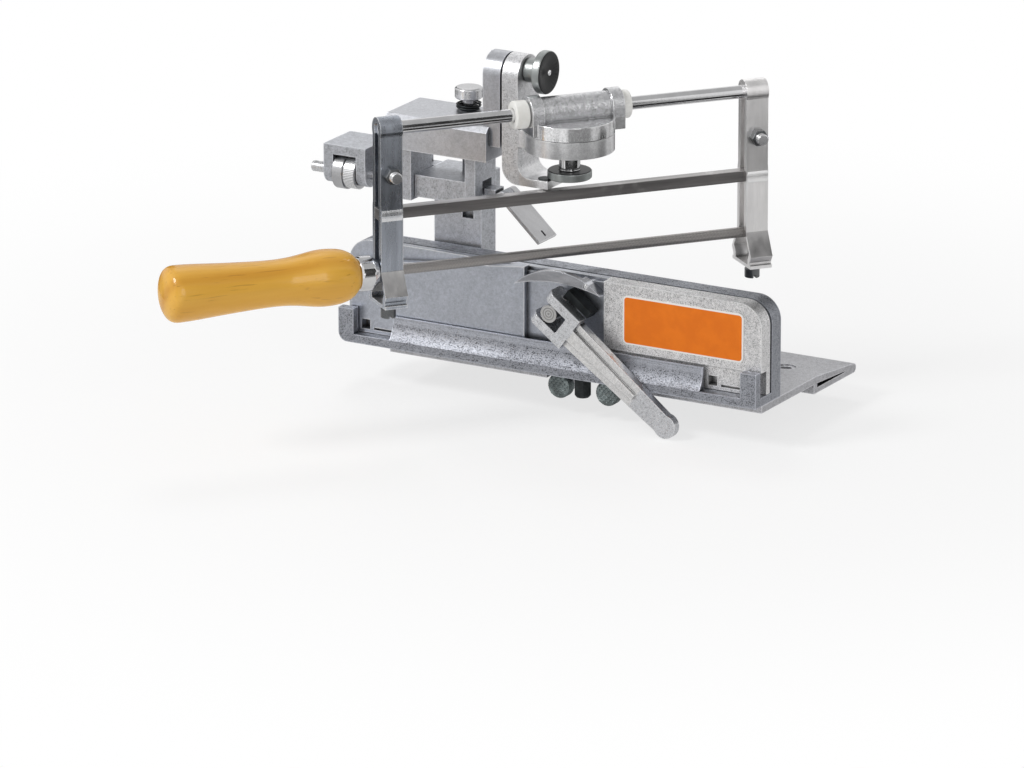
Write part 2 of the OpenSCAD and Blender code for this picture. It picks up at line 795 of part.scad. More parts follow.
// Forked clamp lever: a tapering arm with a raised ridge and a round tip
module clamp_lever() {
  back = arm_back - pin_y;
  front = arm_front - pin_y;
  tip_x = lever_l - tip_r;
  color("gainsboro") lever_frame() difference() {
    union() {
      for (z = [fork_w, -fork_w - prong_t])
        translate([0, 0, z]) linear_extrude(prong_t) prong_outline();
      block([fork_root, front, -fork_w - prong_t], [fork_l, back, fork_w + prong_t]);
      fill_y(front + ridge_h, back) polygon([
        [fork_l - eps, -lever_root_w / 2], [tip_x, -lever_w / 2],
        [tip_x, lever_w / 2], [fork_l - eps, lever_root_w / 2]
      ]);
      translate([tip_x, 0, 0]) round_y(front + ridge_h, back, tip_r);
      fill_y(front, back) polygon([
        [fork_l - eps, -ridge_w0 / 2], [ridge_end, -ridge_w1 / 2],
        [ridge_end, ridge_w1 / 2], [fork_l - eps, ridge_w0 / 2]
      ]);
    }
    round_z(-fork_w - prong_t - 1, fork_w + prong_t + 1, lever_pin_d / 2);
  }
}

// Black cam block beside the upper prong
module cam_block() {
  side = fork_w + prong_t;
  color("black") lever_frame()
    block([cam_block_x0, -0.4, side], [cam_block_x1, cam_r - prong_lean, side + cam_block_w]);
}

// Cross pin of the lever
module lever_pin() {
  color("dimgray") lever_frame() round_z(-fork_w - prong_t, fork_w + prong_t, lever_pin_d / 2);
}

// Flanged nut between the bracket's lugs
module adjuster_nut() {
  color("lightgray") translate([0, spindle_y, spindle_z]) difference() {
    union() {
      round_x(bracket_x0 + lug_t + gap, bracket_x0 + lug_t + gap + nut_flange_l, nut_d / 2);
      round_x(bracket_x0 + lug_t + gap, bracket_x1 - lug_t - gap, nut_grip_r);
    }
    round_x(bracket_x0, bracket_x1, spindle_r + fit);
  }
}

// Threaded spindle from the nut, through the guide block, to the pawl bar
module adjuster_spindle() {
  color("lightgray") translate([0, spindle_y, spindle_z])
    round_x(spindle_x0, pawl_bar_x0 + pawl_bar_l / 2, spindle_r);
}

// Frame of the pawl's hinge, with the pin along Y
module pawl_frame() {
  translate([pawl_pin_x, pawl_pin_y, spindle_z]) children();
}

// Dark bar on the spindle's end that carries the pawl's hinge
module pawl_bar() {
  color("dimgray") difference() {
    union() {
      block([pawl_bar_x0, pawl_bar_y, pawl_bar_z],
            [pawl_bar_x0 + pawl_bar_l, pawl_bar_y + pawl_bar_d, pawl_bar_z + pawl_bar_h]);
      pawl_frame() {
        round_y(-middle_knuckle / 2, middle_knuckle / 2, knuckle_r);
        block([-pawl_reach - 1, -middle_knuckle / 2, -knuckle_r], [0, middle_knuckle / 2, 0]);
      }
    }
    translate([0, spindle_y, spindle_z])
      round_x(pawl_bar_x0 - 1, pawl_bar_x0 + pawl_bar_l / 2, spindle_r);
    pawl_frame() round_y(-pawl_w, pawl_w, pawl_pin_r + fit);
  }
}

// Hinge pin of the pawl
module pawl_pin() {
  color("silver") pawl_frame() round_y(-pawl_w / 2, pawl_w / 2, pawl_pin_r);
}

// Flat stop pawl that slopes down to the rail
module stop_pawl() {
  color("gainsboro") pawl_frame() difference() {
    union() {
      for (s = [-1, 1]) translate([0, s * (pawl_w - side_knuckle) / 2, 0])
        round_y(-side_knuckle / 2, side_knuckle / 2, knuckle_r);
      rotate([0, pawl_slope, 0]) {
        for (y = [-pawl_w / 2, pawl_w / 2 - side_knuckle])
          translate([0, y, knuckle_r - pawl_t]) cube([knuckle_r + 2 * gap, side_knuckle, pawl_t]);
        block([knuckle_r + gap, -pawl_w / 2, knuckle_r - pawl_t], [pawl_l, pawl_w / 2, knuckle_r]);
      }
    }
    round_y(-pawl_w, pawl_w, pawl_pin_r);
    rotate([0, pawl_slope, 0])
      block([pawl_l - pawl_slot_end - pawl_slot_l, -pawl_slot_w / 2, 0],
            [pawl_l - pawl_slot_end, pawl_slot_w / 2, 2 * knuckle_r]);
  }
}

// Round-topped outline of the tilt ear and the tilt arm, seen along X
module ear_outline(z0) {
  translate([0, tilt_z - ear_fall]) circle(arm_r);
  translate([-arm_r, z0]) square([2 * arm_r, tilt_z - ear_fall - z0]);
}

// Box housing with two guide cheeks below and the tilt ear on its right
module slide_housing() {
  cheek_z = housing_z - cheek_h;
  cheek_y1 = cheek_y0 + cheek_d;
  chamfer = 2.4;
  color("silver") difference() {
    union() {
      fill_x(housing_x0, housing_x1) polygon([
        [housing_y0, housing_z], [housing_y0 + housing_d, housing_z], [housing_y0 + housing_d, housing_top],
        [housing_y0 + chamfer, housing_top], [housing_y0, housing_top - chamfer]
      ]);
      block([left_cheek_x, cheek_y0, cheek_z], [left_cheek_x + left_cheek_t, cheek_y1, housing_z + eps]);
      block([right_cheek_x, cheek_y0, cheek_z], [right_cheek_x + right_cheek_t, cheek_y1, housing_z + eps]);
      fill_x(ear_x0, ear_x1) ear_outline(ear_z);
    }
    translate([0, 0, tilt_z]) round_x(ear_x0 - 1, ear_x1 + 1, tilt_bolt_r);
    translate([height_screw_x, height_screw_y, 0])
      round_z(housing_z - 1, housing_top + 1, height_screw_r + fit);
    block([left_cheek_x - 1, spindle_y - spindle_r - gap, spindle_z - cheek_slot_h / 2],
          [left_cheek_x + left_cheek_t + eps, spindle_y + spindle_r + gap, spindle_z + cheek_slot_h / 2]);
    block([right_cheek_x - eps, pawl_bar_y - gap, spindle_z - pawl_slot_h / 2],
          [right_cheek_x + right_cheek_t + 1, pawl_bar_y + pawl_bar_d + gap, spindle_z + pawl_slot_h / 2]);
  }
}

// Tilt bolt through the ear and the arm
module tilt_bolt() {
  color("lightgray") translate([0, 0, tilt_z]) {
    round_x(ear_x0, arm_x1 + tilt_hub_l, tilt_bolt_r);
    round_x(ear_x0 - 1.2, ear_x0, tilt_bolt_r + 1.8);
  }
}

// Silver thumb screw that sets the height of the housing
module height_screw() {
  head_z = housing_top + height_neck;
  color("whitesmoke") translate([height_screw_x, height_screw_y, 0]) {
    round_z(height_tip, head_z + eps, height_screw_r);
    round_z(housing_top + gap, housing_top + gap + 1.2, height_screw_r + 1.6);
    rotate_extrude() polygon([
      [0, head_z], [height_head_r - height_bevel, head_z], [height_head_r, head_z + height_bevel],
      [height_head_r, head_z + height_head_h - height_bevel],
      [height_head_r - height_bevel, head_z + height_head_h], [0, head_z + height_head_h]
    ]);
  }
}

// Hook below the arm, seen from the front: a leg with round bends
module hook_outline() {
  difference() {
    union() {
      translate([arm_x0, hook_z + hook_out_r]) square([arm_t, lower_disc_z - hook_z - hook_out_r + eps]);
      translate([arm_x0 + hook_out_r, hook_z]) square([hook_x1 - arm_x0 - hook_out_r, hook_t]);
      translate([arm_x0 + hook_out_r, hook_z + hook_out_r]) intersection() {
        circle(hook_out_r);
        translate([-hook_out_r, -hook_out_r]) square([hook_out_r, hook_out_r]);
      }
      translate([arm_x0 + hook_out_r - eps, hook_z])
        square([arm_t + hook_in_r - hook_out_r, hook_t + hook_in_r]);
    }
    translate([arm_x1 + hook_in_r, hook_top + hook_in_r]) circle(hook_in_r);
  }
}

// Tilt arm with the lower disc of the turntable and the hook below it
module tilt_arm() {
  color("silver") difference() {
    union() {
      fill_x(arm_x0, arm_x1) ear_outline(lower_disc_z);
      fill_y(-arm_r, arm_r) hook_outline();
      block([arm_x1 - eps, -arm_r, lower_disc_z], [-disc_d / 4, arm_r, disc_z]);
      round_z(lower_disc_z, disc_z, disc_d / 2);
    }
    translate([0, 0, tilt_z]) round_x(arm_x0 - 1, arm_x1 + 1, tilt_bolt_r + fit);
    round_z(lower_disc_z - 1, disc_z + 1, swivel_stud_r + fit);
    translate([rest_screw_x, -arm_r / 2, 0]) round_z(hook_z - 1, hook_top + 1, rest_screw_r);
  }
}

// Small black screw in the hook's end, above the flat bar
module rest_screw() {
  color("black") translate([rest_screw_x, -arm_r / 2, 0]) {
    round_z(hook_z, hook_top, rest_screw_r);
    round_z(hook_top, hook_top + rest_head_t / 2, rest_screw_r + 0.8);
  }
}

// Black dished knob that locks the tilt
module tilt_knob() {
  hub_x = arm_x1 + gap;
  disc_x = hub_x + tilt_hub_l;
  face_x = disc_x + tilt_rim_l;
  r = tilt_knob_d / 2;
  color("black") translate([0, 0, tilt_z]) rotate([0, 90, 0]) difference() {
    rotate_extrude() polygon([
      [0, hub_x], [tilt_hub_r, hub_x], [tilt_hub_r, disc_x], [r - 0.5, disc_x], [r, disc_x + 0.5],
      [r, face_x - 0.5], [r - 0.5, face_x], [r - 1.6, face_x], [r * 0.45, face_x - 0.8 * tilt_dish_t],
      [0, face_x - tilt_dish_t]
    ]);
    round_z(hub_x - 1, arm_x1 + tilt_hub_l + gap, tilt_bolt_r + fit);
  }
}

// Outline of one end collar, seen along the rod
module collar_outline() {
  translate([0, rod_z]) circle(collar_w / 2);
  translate([-collar_w / 2, collar_z]) square([collar_w, rod_z - collar_z]);
}

// Upper disc of the turntable with the sleeve for the guide rod
module swivel_head() {
  color("silver") along_file() difference() {
    union() {
      round_z(upper_disc_z, upper_disc_top, disc_d / 2);
      translate([0, 0, rod_z]) round_x(-sleeve_front, sleeve_rear, sleeve_d / 2);
      block([eps - sleeve_front, -sleeve_d / 2, upper_disc_top - 1],
            [sleeve_rear - eps, sleeve_d / 2, rod_z]);
      fill_x(-sleeve_front, collar_l - sleeve_front) collar_outline();
      fill_x(sleeve_rear - collar_l, sleeve_rear) collar_outline();
    }
    translate([0, 0, rod_z]) round_x(-2 * sleeve_front, 2 * sleeve_rear, bush_body_d / 2 + fit);
    round_z(upper_disc_z - 1, upper_disc_z + upper_disc_t / 2, swivel_stud_r);
  }
}

// Stud on the swivel axis, fixed in the upper disc
module swivel_stud() {
  color("lightgray") round_z(knob_z + 1 + gap, upper_disc_z + upper_disc_t / 2, swivel_stud_r);
}

// Black knurled knob that locks the turntable
module clamp_knob() {
  color("black") difference() {
    union() {
      round_z(knob_z, knob_z + knob_rim_h, clamp_knob_d / 2);
      round_z(knob_z, knob_top, knob_hub_r);
    }
    round_z(knob_z + 1, knob_top + 1, swivel_stud_r + fit);
  }
}

// One flanged white bush; side is -1 in front and 1 behind
module bush(side) {
  end = gap + (side < 0 ? sleeve_front : sleeve_rear);
  flange_l = side < 0 ? front_flange_l : rear_flange_l;
  color("white") along_file() translate([0, 0, rod_z]) mirror([side < 0 ? 1 : 0, 0, 0]) difference() {
    union() {
      round_x(end, end + flange_l, bush_d / 2);
      round_x(end - gap - bush_body_l, end + eps, bush_body_d / 2);
    }
    round_x(0, 2 * end, rod_r + fit);
  }
}

module front_bush() { bush(-1); }

module rear_bush() { bush(1); }

// Round guide rod
module guide_rod() {
  color("whitesmoke") along_file() translate([0, 0, rod_z]) round_x(frame_u0 + 1, frame_u1 - 1, rod_r);
}

// Dark flat bar that stiffens the frame
module flat_bar() {
  color("dimgray") along_file()
    block([frame_u0, -bar_t / 2, rod_z - bar_drop - bar_h / 2],
          [frame_u1, bar_t / 2, rod_z - bar_drop + bar_h / 2]);
}

// Round file, with a thinner tang in the handle
module round_file() {
  color("gray") along_file() translate([0, 0, rod_z - file_drop]) {
    round_x(frame_u0 - gap, frame_u1 - 1, file_d / 2);
    round_x(frame_u0 - gap - ferrule_l - handle_l / 2, frame_u0, tang_r);
  }
}

// Half of the strip's outline on one side; t moves it inwards
function strip_side(t) = [
  [pinch_w - t, 0],
  [pinch_w - t, -bar_drop + bar_h / 2 + step_h],
  [leg_w - t, -bar_drop + bar_h / 2],
  [leg_w - t, -flare_drop + t / 2],
  [loop_w - t, -loop_drop + t / 2],
  [chin_w - t, -chin_drop + t / 3],
  [chin_w - t, -sole_drop + (t > 0 ? sole_t : sole_t / 2)]
];

function mirrored(p) = [for (i = [len(p) - 1 : -1 : 0]) [-p[i][0], p[i][1]]];

// Solid inside one side of the strip, seen along the rod
module strip_outline(t) {
  polygon(concat(strip_side(t), mirrored(strip_side(t))));
}

// One folded bracket: a loop on the rod, legs that grip the bar, a loop round the file and a sole
module bracket(u) {
  w = strip_w / 2;
  color("lightsteelblue") along_file() translate([u, 0, rod_z]) difference() {
    union() {
      round_x(-w, w, leg);
      fill_x(-w, w) strip_outline(0);
      block([-w, -lip_w, -sole_drop], [w, lip_w, -sole_drop + sole_t]);
    }
    round_x(-w - 1, w + 1, rod_r);
    fill_x(-w - 1, w + 1) strip_outline(strip_t);
    translate([0, 0, -bolt_drop]) round_y(-2 * leg, 2 * leg, frame_bolt_d / 2);
    round_z(-sole_drop - 1, -sole_drop + sole_t + 1, file_screw_d / 2);
  }
}

module front_bracket() { bracket(front_u); }

module rear_bracket() { bracket(rear_u); }

// Hexagon bolts that pinch the two brackets on the rod
module bracket_bolts() {
  color("silver") along_file() for (u = [front_u, rear_u]) translate([u, 0, rod_z - bolt_drop]) {
    round_y(-pinch_w - bolt_nut_t - bolt_end, pinch_w, frame_bolt_d / 2);
    rotate([-90, 0, 0]) hex_z(pinch_w, pinch_w + bolt_head_t, bolt_af);
  }
}

// Nuts on the bracket bolts
module bracket_nuts() {
  color("lightgray") along_file() for (u = [front_u, rear_u]) translate([u, 0, rod_z - bolt_drop])
    difference() {
      rotate([90, 0, 0]) hex_z(pinch_w, pinch_w + bolt_nut_t, bolt_af);
      round_y(-pinch_w - bolt_nut_t - 1, 1 - pinch_w, frame_bolt_d / 2);
    }
}

// Slotted screws that press the file up into the brackets
module file_screws() {
  tip = -file_drop - file_d / 2;
  head = tip - file_screw_l;
  color("silver") along_file() for (u = [front_u, rear_u]) translate([u, 0, rod_z]) difference() {
    union() {
      round_z(head, tip, file_screw_d / 2);
      round_z(head - cheese_h, head, cheese_d / 2);
    }
    block([-slot_w / 2, -cheese_d, head - cheese_h - 1],
          [slot_w / 2, cheese_d, head - cheese_h + slot_depth]);
  }
}

// Bright ferrule between the handle and the front bracket
module ferrule() {
  color("whitesmoke") along_file() translate([ferrule_u, 0, rod_z - file_drop]) rotate([0, 90, 0])
    rotate_extrude() polygon([
      [tang_r + fit, 0], [ferrule_d / 2 - 0.6, 0], [ferrule_d / 2, 1.5], [ferrule_d / 2, ferrule_l - 3],
      [ferrule_d / 2 - 2.2, ferrule_l], [tang_r + fit, ferrule_l]
    ]);
}

// Radius of the handle at t, from 0 at the ferrule to 1 at the butt
function bump(t, middle, width) = exp(-pow((t - middle) / width, 2));
function handle_swell(t) =
  0.85 + 0.15 * bump(t, 0.17, 0.13) + 0.15 * bump(t, 0.95, 0.25) - 0.04 * bump(t, 0.42, 0.16);
function head_round(t) = sqrt(1 - 0.62 * pow(max(0, 1 - t / 0.12), 3));
function butt_round(t) = sqrt(1 - pow(max(0, (t - 0.9) / 0.1), 4));
function handle_r(t) = handle_d / 2 * handle_swell(t) * head_round(t) * butt_round(t);

// Turned wooden handle
module handle() {
  steps = 40;
  color("goldenrod") along_file() translate([ferrule_u, 0, rod_z - file_drop]) rotate([0, -90, 0])
    difference() {
      rotate_extrude() polygon(concat(
        [[0, 0]],
        [for (i = [0 : steps]) [max(eps, handle_r(i / steps)), handle_l * i / steps]],
        [[0, handle_l]]
      ));
      round_z(-1, handle_l / 2 + gap, tang_r);
    }
}

rail_body();
base_plate();
rail_bolt();
plate_screws();
jaw_pins();
clamp_stud();
stud_nut();
edge_screw_left();
edge_screw_right();
column_post();
post_screws();
adjuster_bracket();
front_jaw();
label_plate();
hood_leaf();
hood_rivet();
clamp_lever();
cam_block();
lever_pin();
adjuster_nut();
adjuster_spindle();
pawl_bar();
pawl_pin();
stop_pawl();
slide_housing();
tilt_bolt();
height_screw();
tilt_arm();
rest_screw();
tilt_knob();
swivel_head();
swivel_stud();
clamp_knob();
front_bush();
rear_bush();
guide_rod();
flat_bar();
round_file();
front_bracket();
rear_bracket();
bracket_bolts();
bracket_nuts();
file_screws();
ferrule();
handle();
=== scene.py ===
# %% [markdown]
# # A bench file guide, dressed in Blender
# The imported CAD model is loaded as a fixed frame. Every piece made here rides on one of its bodies, so the
# same scene can be posed at any joint angle. The CAD solids have sharp edges, as solids do, so each of them
# gets a skin with small round edges that catch the light. What repeats, such as threads and knurls, is
# built on top with Geometry Nodes.

# %% Load the frame
import json
import math

import bmesh
import bpy
from mathutils import Matrix, Vector
from mathutils.bvhtree import BVHTree


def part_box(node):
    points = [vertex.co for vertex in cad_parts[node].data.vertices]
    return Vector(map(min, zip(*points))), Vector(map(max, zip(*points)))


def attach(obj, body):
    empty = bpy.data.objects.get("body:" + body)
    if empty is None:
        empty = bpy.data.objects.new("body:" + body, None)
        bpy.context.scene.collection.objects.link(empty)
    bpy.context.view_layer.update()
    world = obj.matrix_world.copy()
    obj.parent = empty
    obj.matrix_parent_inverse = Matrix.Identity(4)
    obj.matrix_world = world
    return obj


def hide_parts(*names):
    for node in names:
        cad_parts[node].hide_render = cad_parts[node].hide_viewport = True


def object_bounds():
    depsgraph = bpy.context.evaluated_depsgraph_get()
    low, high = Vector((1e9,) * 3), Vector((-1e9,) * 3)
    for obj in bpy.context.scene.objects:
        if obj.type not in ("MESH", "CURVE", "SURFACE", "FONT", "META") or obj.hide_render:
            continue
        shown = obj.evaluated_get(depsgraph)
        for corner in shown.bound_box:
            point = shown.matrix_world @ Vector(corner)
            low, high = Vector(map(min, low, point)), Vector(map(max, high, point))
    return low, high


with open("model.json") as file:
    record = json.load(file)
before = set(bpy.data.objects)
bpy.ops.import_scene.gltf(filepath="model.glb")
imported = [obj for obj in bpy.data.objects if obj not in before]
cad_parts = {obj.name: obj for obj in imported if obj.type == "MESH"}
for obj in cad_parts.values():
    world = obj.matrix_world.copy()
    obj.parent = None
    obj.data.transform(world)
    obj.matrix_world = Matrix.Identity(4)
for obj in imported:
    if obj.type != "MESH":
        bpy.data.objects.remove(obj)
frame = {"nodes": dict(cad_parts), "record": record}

cad_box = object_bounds()
record = frame["record"]
nodes = frame["nodes"]
body_of = {n: b for b, members in record["behaviour"]["bodies"].items() for n in members}
print("nodes:", len(nodes), "box:", [round(v, 4) for c in cad_box for v in c])

# %% [markdown]
# ## The file's own direction
# The rod, bar and file lie at an angle to the rail, the same angle as in the CAD source. Two unit vectors,
# along the file and across it, let everything on the frame be placed by plain distances. The heights and
# the brackets' places are measured on the CAD nodes, so they aren't typed a second time.

# %% Directions
FILE_ANGLE = math.radians(51)
ALONG = Vector((math.cos(FILE_ANGLE), math.sin(FILE_ANGLE), 0))
ACROSS = Vector((math.sin(FILE_ANGLE), -math.cos(FILE_ANGLE), 0))


def middle(node):
    low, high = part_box(node)
    return (low + high) / 2


def extent(node):
    low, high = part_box(node)
    return high - low


def span(node, direction):
    reach = [v.co.dot(direction) for v in nodes[node].data.vertices]
    return min(reach), max(reach)


ROD_Z, BAR_Z, FILE_Z = (middle(node).z for node in ("guide_rod", "flat_bar", "round_file"))
FRONT_U, REAR_U = (sum(span(node, ALONG)) / 2 for node in ("front_bracket", "rear_bracket"))
print("heights of rod, bar and file:", round(ROD_Z, 4), round(BAR_Z, 4), round(FILE_Z, 4))
print("brackets along the file:", round(FRONT_U, 4), round(REAR_U, 4))

# %% [markdown]
# ## Camera
# The photograph is taken with a long lens, a little above the tool and from its right-hand front. The
# camera is placed along that direction, far away, and aimed so that one known point of the tool lands where
# the photograph has it. Aiming by a point is steadier than turning the camera by hand.

# %% Camera
IMAGE_W, IMAGE_H = 1024, 768
AZIMUTH, ELEVATION = math.radians(29.7), math.radians(17.15)
DISTANCE = 4.0
PIXELS_PER_M = 2200.0
SENSOR_MM = 36.0
ANCHOR, ANCHOR_X, ANCHOR_Y = Vector((0, 0, 0.058)), 569.5, 262.9
right = Vector((math.cos(AZIMUTH), math.sin(AZIMUTH), 0))
level_back = Vector((math.sin(AZIMUTH), -math.cos(AZIMUTH), 0))
back = level_back * math.cos(ELEVATION) + Vector((0, 0, math.sin(ELEVATION)))
up = back.cross(right)
sideways = (IMAGE_W / 2 - ANCHOR_X) / PIXELS_PER_M
upwards = (ANCHOR_Y - IMAGE_H / 2) / PIXELS_PER_M
camera_data = bpy.data.cameras.new("camera")
camera = bpy.data.objects.new("camera", camera_data)
bpy.context.scene.collection.objects.link(camera)
camera.location = ANCHOR + right * sideways + up * upwards + back * DISTANCE
camera.rotation_mode = "QUATERNION"
camera.rotation_quaternion = (-back).to_track_quat("-Z", "Y")
camera_data.sensor_width = SENSOR_MM
camera_data.lens = SENSOR_MM * PIXELS_PER_M * DISTANCE / IMAGE_W
camera_data.clip_start, camera_data.clip_end = 0.01, 50
bpy.context.scene.camera = camera
print("lens:", round(camera_data.lens, 1), "mm at", DISTANCE, "m")

# %% [markdown]
# ## Shader maths as Python
# A finish is a tree of nodes, and a tree is easier to read as an expression. `Signal` wraps one output
# socket, and adding or multiplying two signals adds the Math node for it. Every other node, here and in the
# Geometry Nodes further down, comes from one function: `add_node` takes its type, its settings and what
# goes into its sockets.


# %% Nodes and signals
def put(tree, socket, value):
    if isinstance(value, Signal):
        value = value.socket
    if isinstance(value, bpy.types.NodeSocket):
        tree.links.new(value, socket)
    elif isinstance(value, tuple) and len(value) == 3 and socket.type == "RGBA":
        socket.default_value = (*value, 1.0)
    else:
        socket.default_value = value


def add_node(tree, kind, settings, inputs):
    added = tree.nodes.new(kind)
    for name, value in settings.items():
        setattr(added, name, value)
    for name, value in inputs.items():
        put(tree, added.inputs[name], value)
    return added


def maths(tree, operation, *terms):
    return add_node(tree, "ShaderNodeMath", {"operation": operation}, dict(enumerate(terms))).outputs[0]


class Signal:
    def __init__(self, tree, socket):
        self.tree = tree
        self.socket = socket

    def math(self, operation, *others):
        return Signal(self.tree, maths(self.tree, operation, self, *others))

    def __add__(self, other):
        return self.math("ADD", other)

    def __mul__(self, other):
        return self.math("MULTIPLY", other)

    def __sub__(self, other):
        return self.math("SUBTRACT", other)

    def __rsub__(self, other):
        return (self * -1) + other

    __radd__ = __add__
    __rmul__ = __mul__

    def __abs__(self):
        return self.math("ABSOLUTE")

    def power(self, other):
        return self.math("POWER", other)

    def sine(self):
        return self.math("SINE")

    def step(self, low, high):
        inputs = {"Value": self, "From Min": low, "From Max": high}
        ramp = add_node(self.tree, "ShaderNodeMapRange", {"interpolation_type": "SMOOTHSTEP"}, inputs)
        return Signal(self.tree, ramp.outputs["Result"])


# %% [markdown]
# A `Finish` is one material in the making. It hands out what all finishes share: noise in the piece's own
# coordinates, so that nothing slides when the part moves, and painted light. The Ambient Occlusion node
# measures how closed in a spot is. Looking outwards it finds the nooks, which get painted shade, and looking
# inwards the edges, which get a painted highlight that also stands for wear.


# %% Finish
class Finish:
    NOOK, EDGE = 0.003, 0.0009
    # Strength of the painted shade in nooks and of the painted highlight on edges, which also stands for
    # wear.
    DIRT, SHINE = 0.88, 0.75

    def __init__(self, name, turn=(0, 0, 0)):
        self.material = bpy.data.materials.new(name)
        self.material.use_nodes = True
        self.tree = self.material.node_tree
        self.shader = self.tree.nodes["Principled BSDF"]
        self.place = self.node("ShaderNodeTexCoord", {}, {}, "Object")
        if any(turn):
            self.place = self.mapped("Rotation", turn)

    def node(self, kind, settings, inputs, out=0):
        return Signal(self.tree, add_node(self.tree, kind, settings, inputs).outputs[out])

    def mapped(self, how, amount):
        return self.node("ShaderNodeMapping", {}, {"Vector": self.place, how: amount}, "Vector")

    def axes(self):
        split = add_node(self.tree, "ShaderNodeSeparateXYZ", {}, {0: self.place})
        return [Signal(self.tree, socket) for socket in split.outputs]

    def noise(self, scale, detail, rough, stretch=None):
        where = self.mapped("Scale", stretch) if stretch else self.place
        inputs = {"Vector": where, "Scale": scale, "Detail": detail, "Roughness": rough}
        return self.node("ShaderNodeTexNoise", {}, inputs, "Fac")

    def mix(self, factor, a, b):
        return self.node("ShaderNodeMix", {"data_type": "RGBA"}, {0: factor, 6: a, 7: b}, 2)

    def corner(self, reach, inside):
        settings = {"samples": 6, "inside": inside, "only_local": True}
        return 1 - self.node("ShaderNodeAmbientOcclusion", settings, {"Distance": reach}, "AO")

    # Painted shade in the nooks and a painted highlight along the edges, which also stands for wear.
    def shade_nooks_shine_edges(self, colour, nook_shade_colour, bright):
        nook_shaded = self.mix(self.corner(self.NOOK, False).step(0.12, 0.55) * self.DIRT, colour, nook_shade_colour)
        return self.mix(self.corner(self.EDGE, True).step(0.15, 0.55) * self.SHINE, nook_shaded, bright)

    def bump(self, height, strength, distance):
        inputs = {"Height": height, "Strength": strength, "Distance": distance}
        put(self.tree, self.shader.inputs["Normal"], self.node("ShaderNodeBump", {}, inputs, "Normal"))

    def set(self, **values):
        for name, value in values.items():
            put(self.tree, self.shader.inputs[name.replace("_", " ")], value)
        return self.material


# %% [markdown]
# ## Cast metal
# The tool is die-cast light alloy. Cast skin is cloudy over a few centimetres, patchy over millimetres, and
# pitted with fine dark specks. One noise for each of these sizes gives tone, roughness and bump together.
# Some castings have a smooth and a sandy part, so `where` may say, from the place on the piece, which of
# the two a spot belongs to.


# %% Cast metal
def shade(tone, factor):
    return tuple(min(1.0, c * factor) for c in tone)


# Noise scales, about the number of features in a metre.
CLOUD, PATCH, GRAIN, SPECK = 45, 520, 1500, 2500


def cast_metal(name, tone, sand, where=None, smooth=None, rough=0.26, turn=(0, 0, 0), drawn=(1, 1, 1)):
    f = Finish(name, turn)
    smooth = smooth or tone
    share = where(*f.axes()) if where else 1.0
    cloud = f.noise(CLOUD, 4, 0.6)
    grain = f.noise(GRAIN, 3, 0.6)
    speck = f.noise(SPECK, 2, 0.6, drawn).step(0.36, 0.52)
    patch = f.noise(PATCH, 5, 0.7, drawn).step(0.32, 0.68)
    pale = f.mix(share, smooth, tone)
    dull = f.mix(share, shade(smooth, 0.5), shade(tone, 0.5))
    colour = f.mix(cloud.step(0.3, 0.7) * 0.2 + patch * 0.3, pale, dull)
    colour = f.mix(grain.step(0.38, 0.62) * 0.2, colour, shade(smooth, 0.45))
    pits = (1 - speck) * (patch * 0.6 + 0.4) * (share * sand + 0.2)
    colour = f.mix(pits, colour, shade(tone, 0.12))
    # Painted shade in nooks; painted highlight and wear on edges.
    colour = f.shade_nooks_shine_edges(colour, shade(tone, 0.12), shade(tone, 1.5))
    f.bump((speck * sand + patch * 0.5) * share + grain * 0.15, 0.25, 0.0002)
    roughness = grain * 0.12 + cloud * 0.08 + share * (0.16 * sand) + rough
    return f.set(Base_Color=colour, Metallic=1.0, Roughness=roughness)


# %% [markdown]
# The jaw is smooth up to the raised block that carries the label. The housing's upper box is smoother than
# its leg, and the head and the arm have bright turned faces. The lever is steel, sandy only at its ends,
# and its pattern is turned to lie along it. A narrow fade joins the two parts of each casting.

# %% Castings
FADE = 0.0006
BLOCK_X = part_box("label_plate")[0].x - 0.010
BOX_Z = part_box("height_screw")[1].z - 0.0266
DISC_Z, ARM_X = 0.1272, -0.0206
EYE_END, GRIP_START = -0.0086, 0.0324
joints = {j["name"]: j for j in record["behaviour"]["joints"]}
pin, pin_axis = (Vector(joints["lever_open"][key]) for key in ("pos_m", "axis"))
LEVER_ANGLE = math.atan2(-pin_axis.x, -pin_axis.z)
ALLOY = (0.62, 0.635, 0.675)


def beyond(place, limit):
    return place.step(limit - FADE, limit)


finish = {
    "cast": cast_metal("cast alloy", ALLOY, 0.5),
    "rough_cast": cast_metal("rough cast alloy", (0.46, 0.475, 0.52), 0.95, drawn=(0.65, 1, 1)),
    "jaw": cast_metal("jaw casting", (0.99, 0.98, 0.98), 0.65,
                      lambda x, y, z: beyond(x, BLOCK_X), (0.55, 0.575, 0.635)),
    "housing": cast_metal("housing casting", ALLOY, 0.6,
                          lambda x, y, z: 1 - beyond(z, BOX_Z), (0.60, 0.61, 0.645)),
    "plate": cast_metal("plate casting", (0.62, 0.62, 0.645), 0.5),
    "head": cast_metal("head casting", (0.93, 0.935, 0.955), 0.4,
                       lambda x, y, z: beyond(z, DISC_Z), (0.97, 0.97, 0.98), rough=0.06),
    "arm": cast_metal("arm casting", (0.90, 0.90, 0.915), 0.5,
                      lambda x, y, z: 1 - beyond(x, ARM_X), (0.93, 0.93, 0.94), rough=0.2),
    "lever": cast_metal("lever steel", (0.86, 0.87, 0.90), 0.32,
                        lambda x, y, z: beyond(x, GRIP_START) + (1 - beyond(x, EYE_END)),
                        (0.97, 0.965, 0.96), 0.13, (0, -LEVER_ANGLE, 0)),
}
print("castings:", ", ".join(finish))

# %% [markdown]
# ## Milled, plated and blackened metal
# Sheet and milled faces carry fine lines in the direction they were drawn or cut, so the noise is squeezed
# that way. Plating is smooth with a slight haze. Blackened steel is dark, streaked, and paler where it has
# been handled. The end of the stud was faced on a lathe, so its rings are a sine wave of the distance from
# the pin.


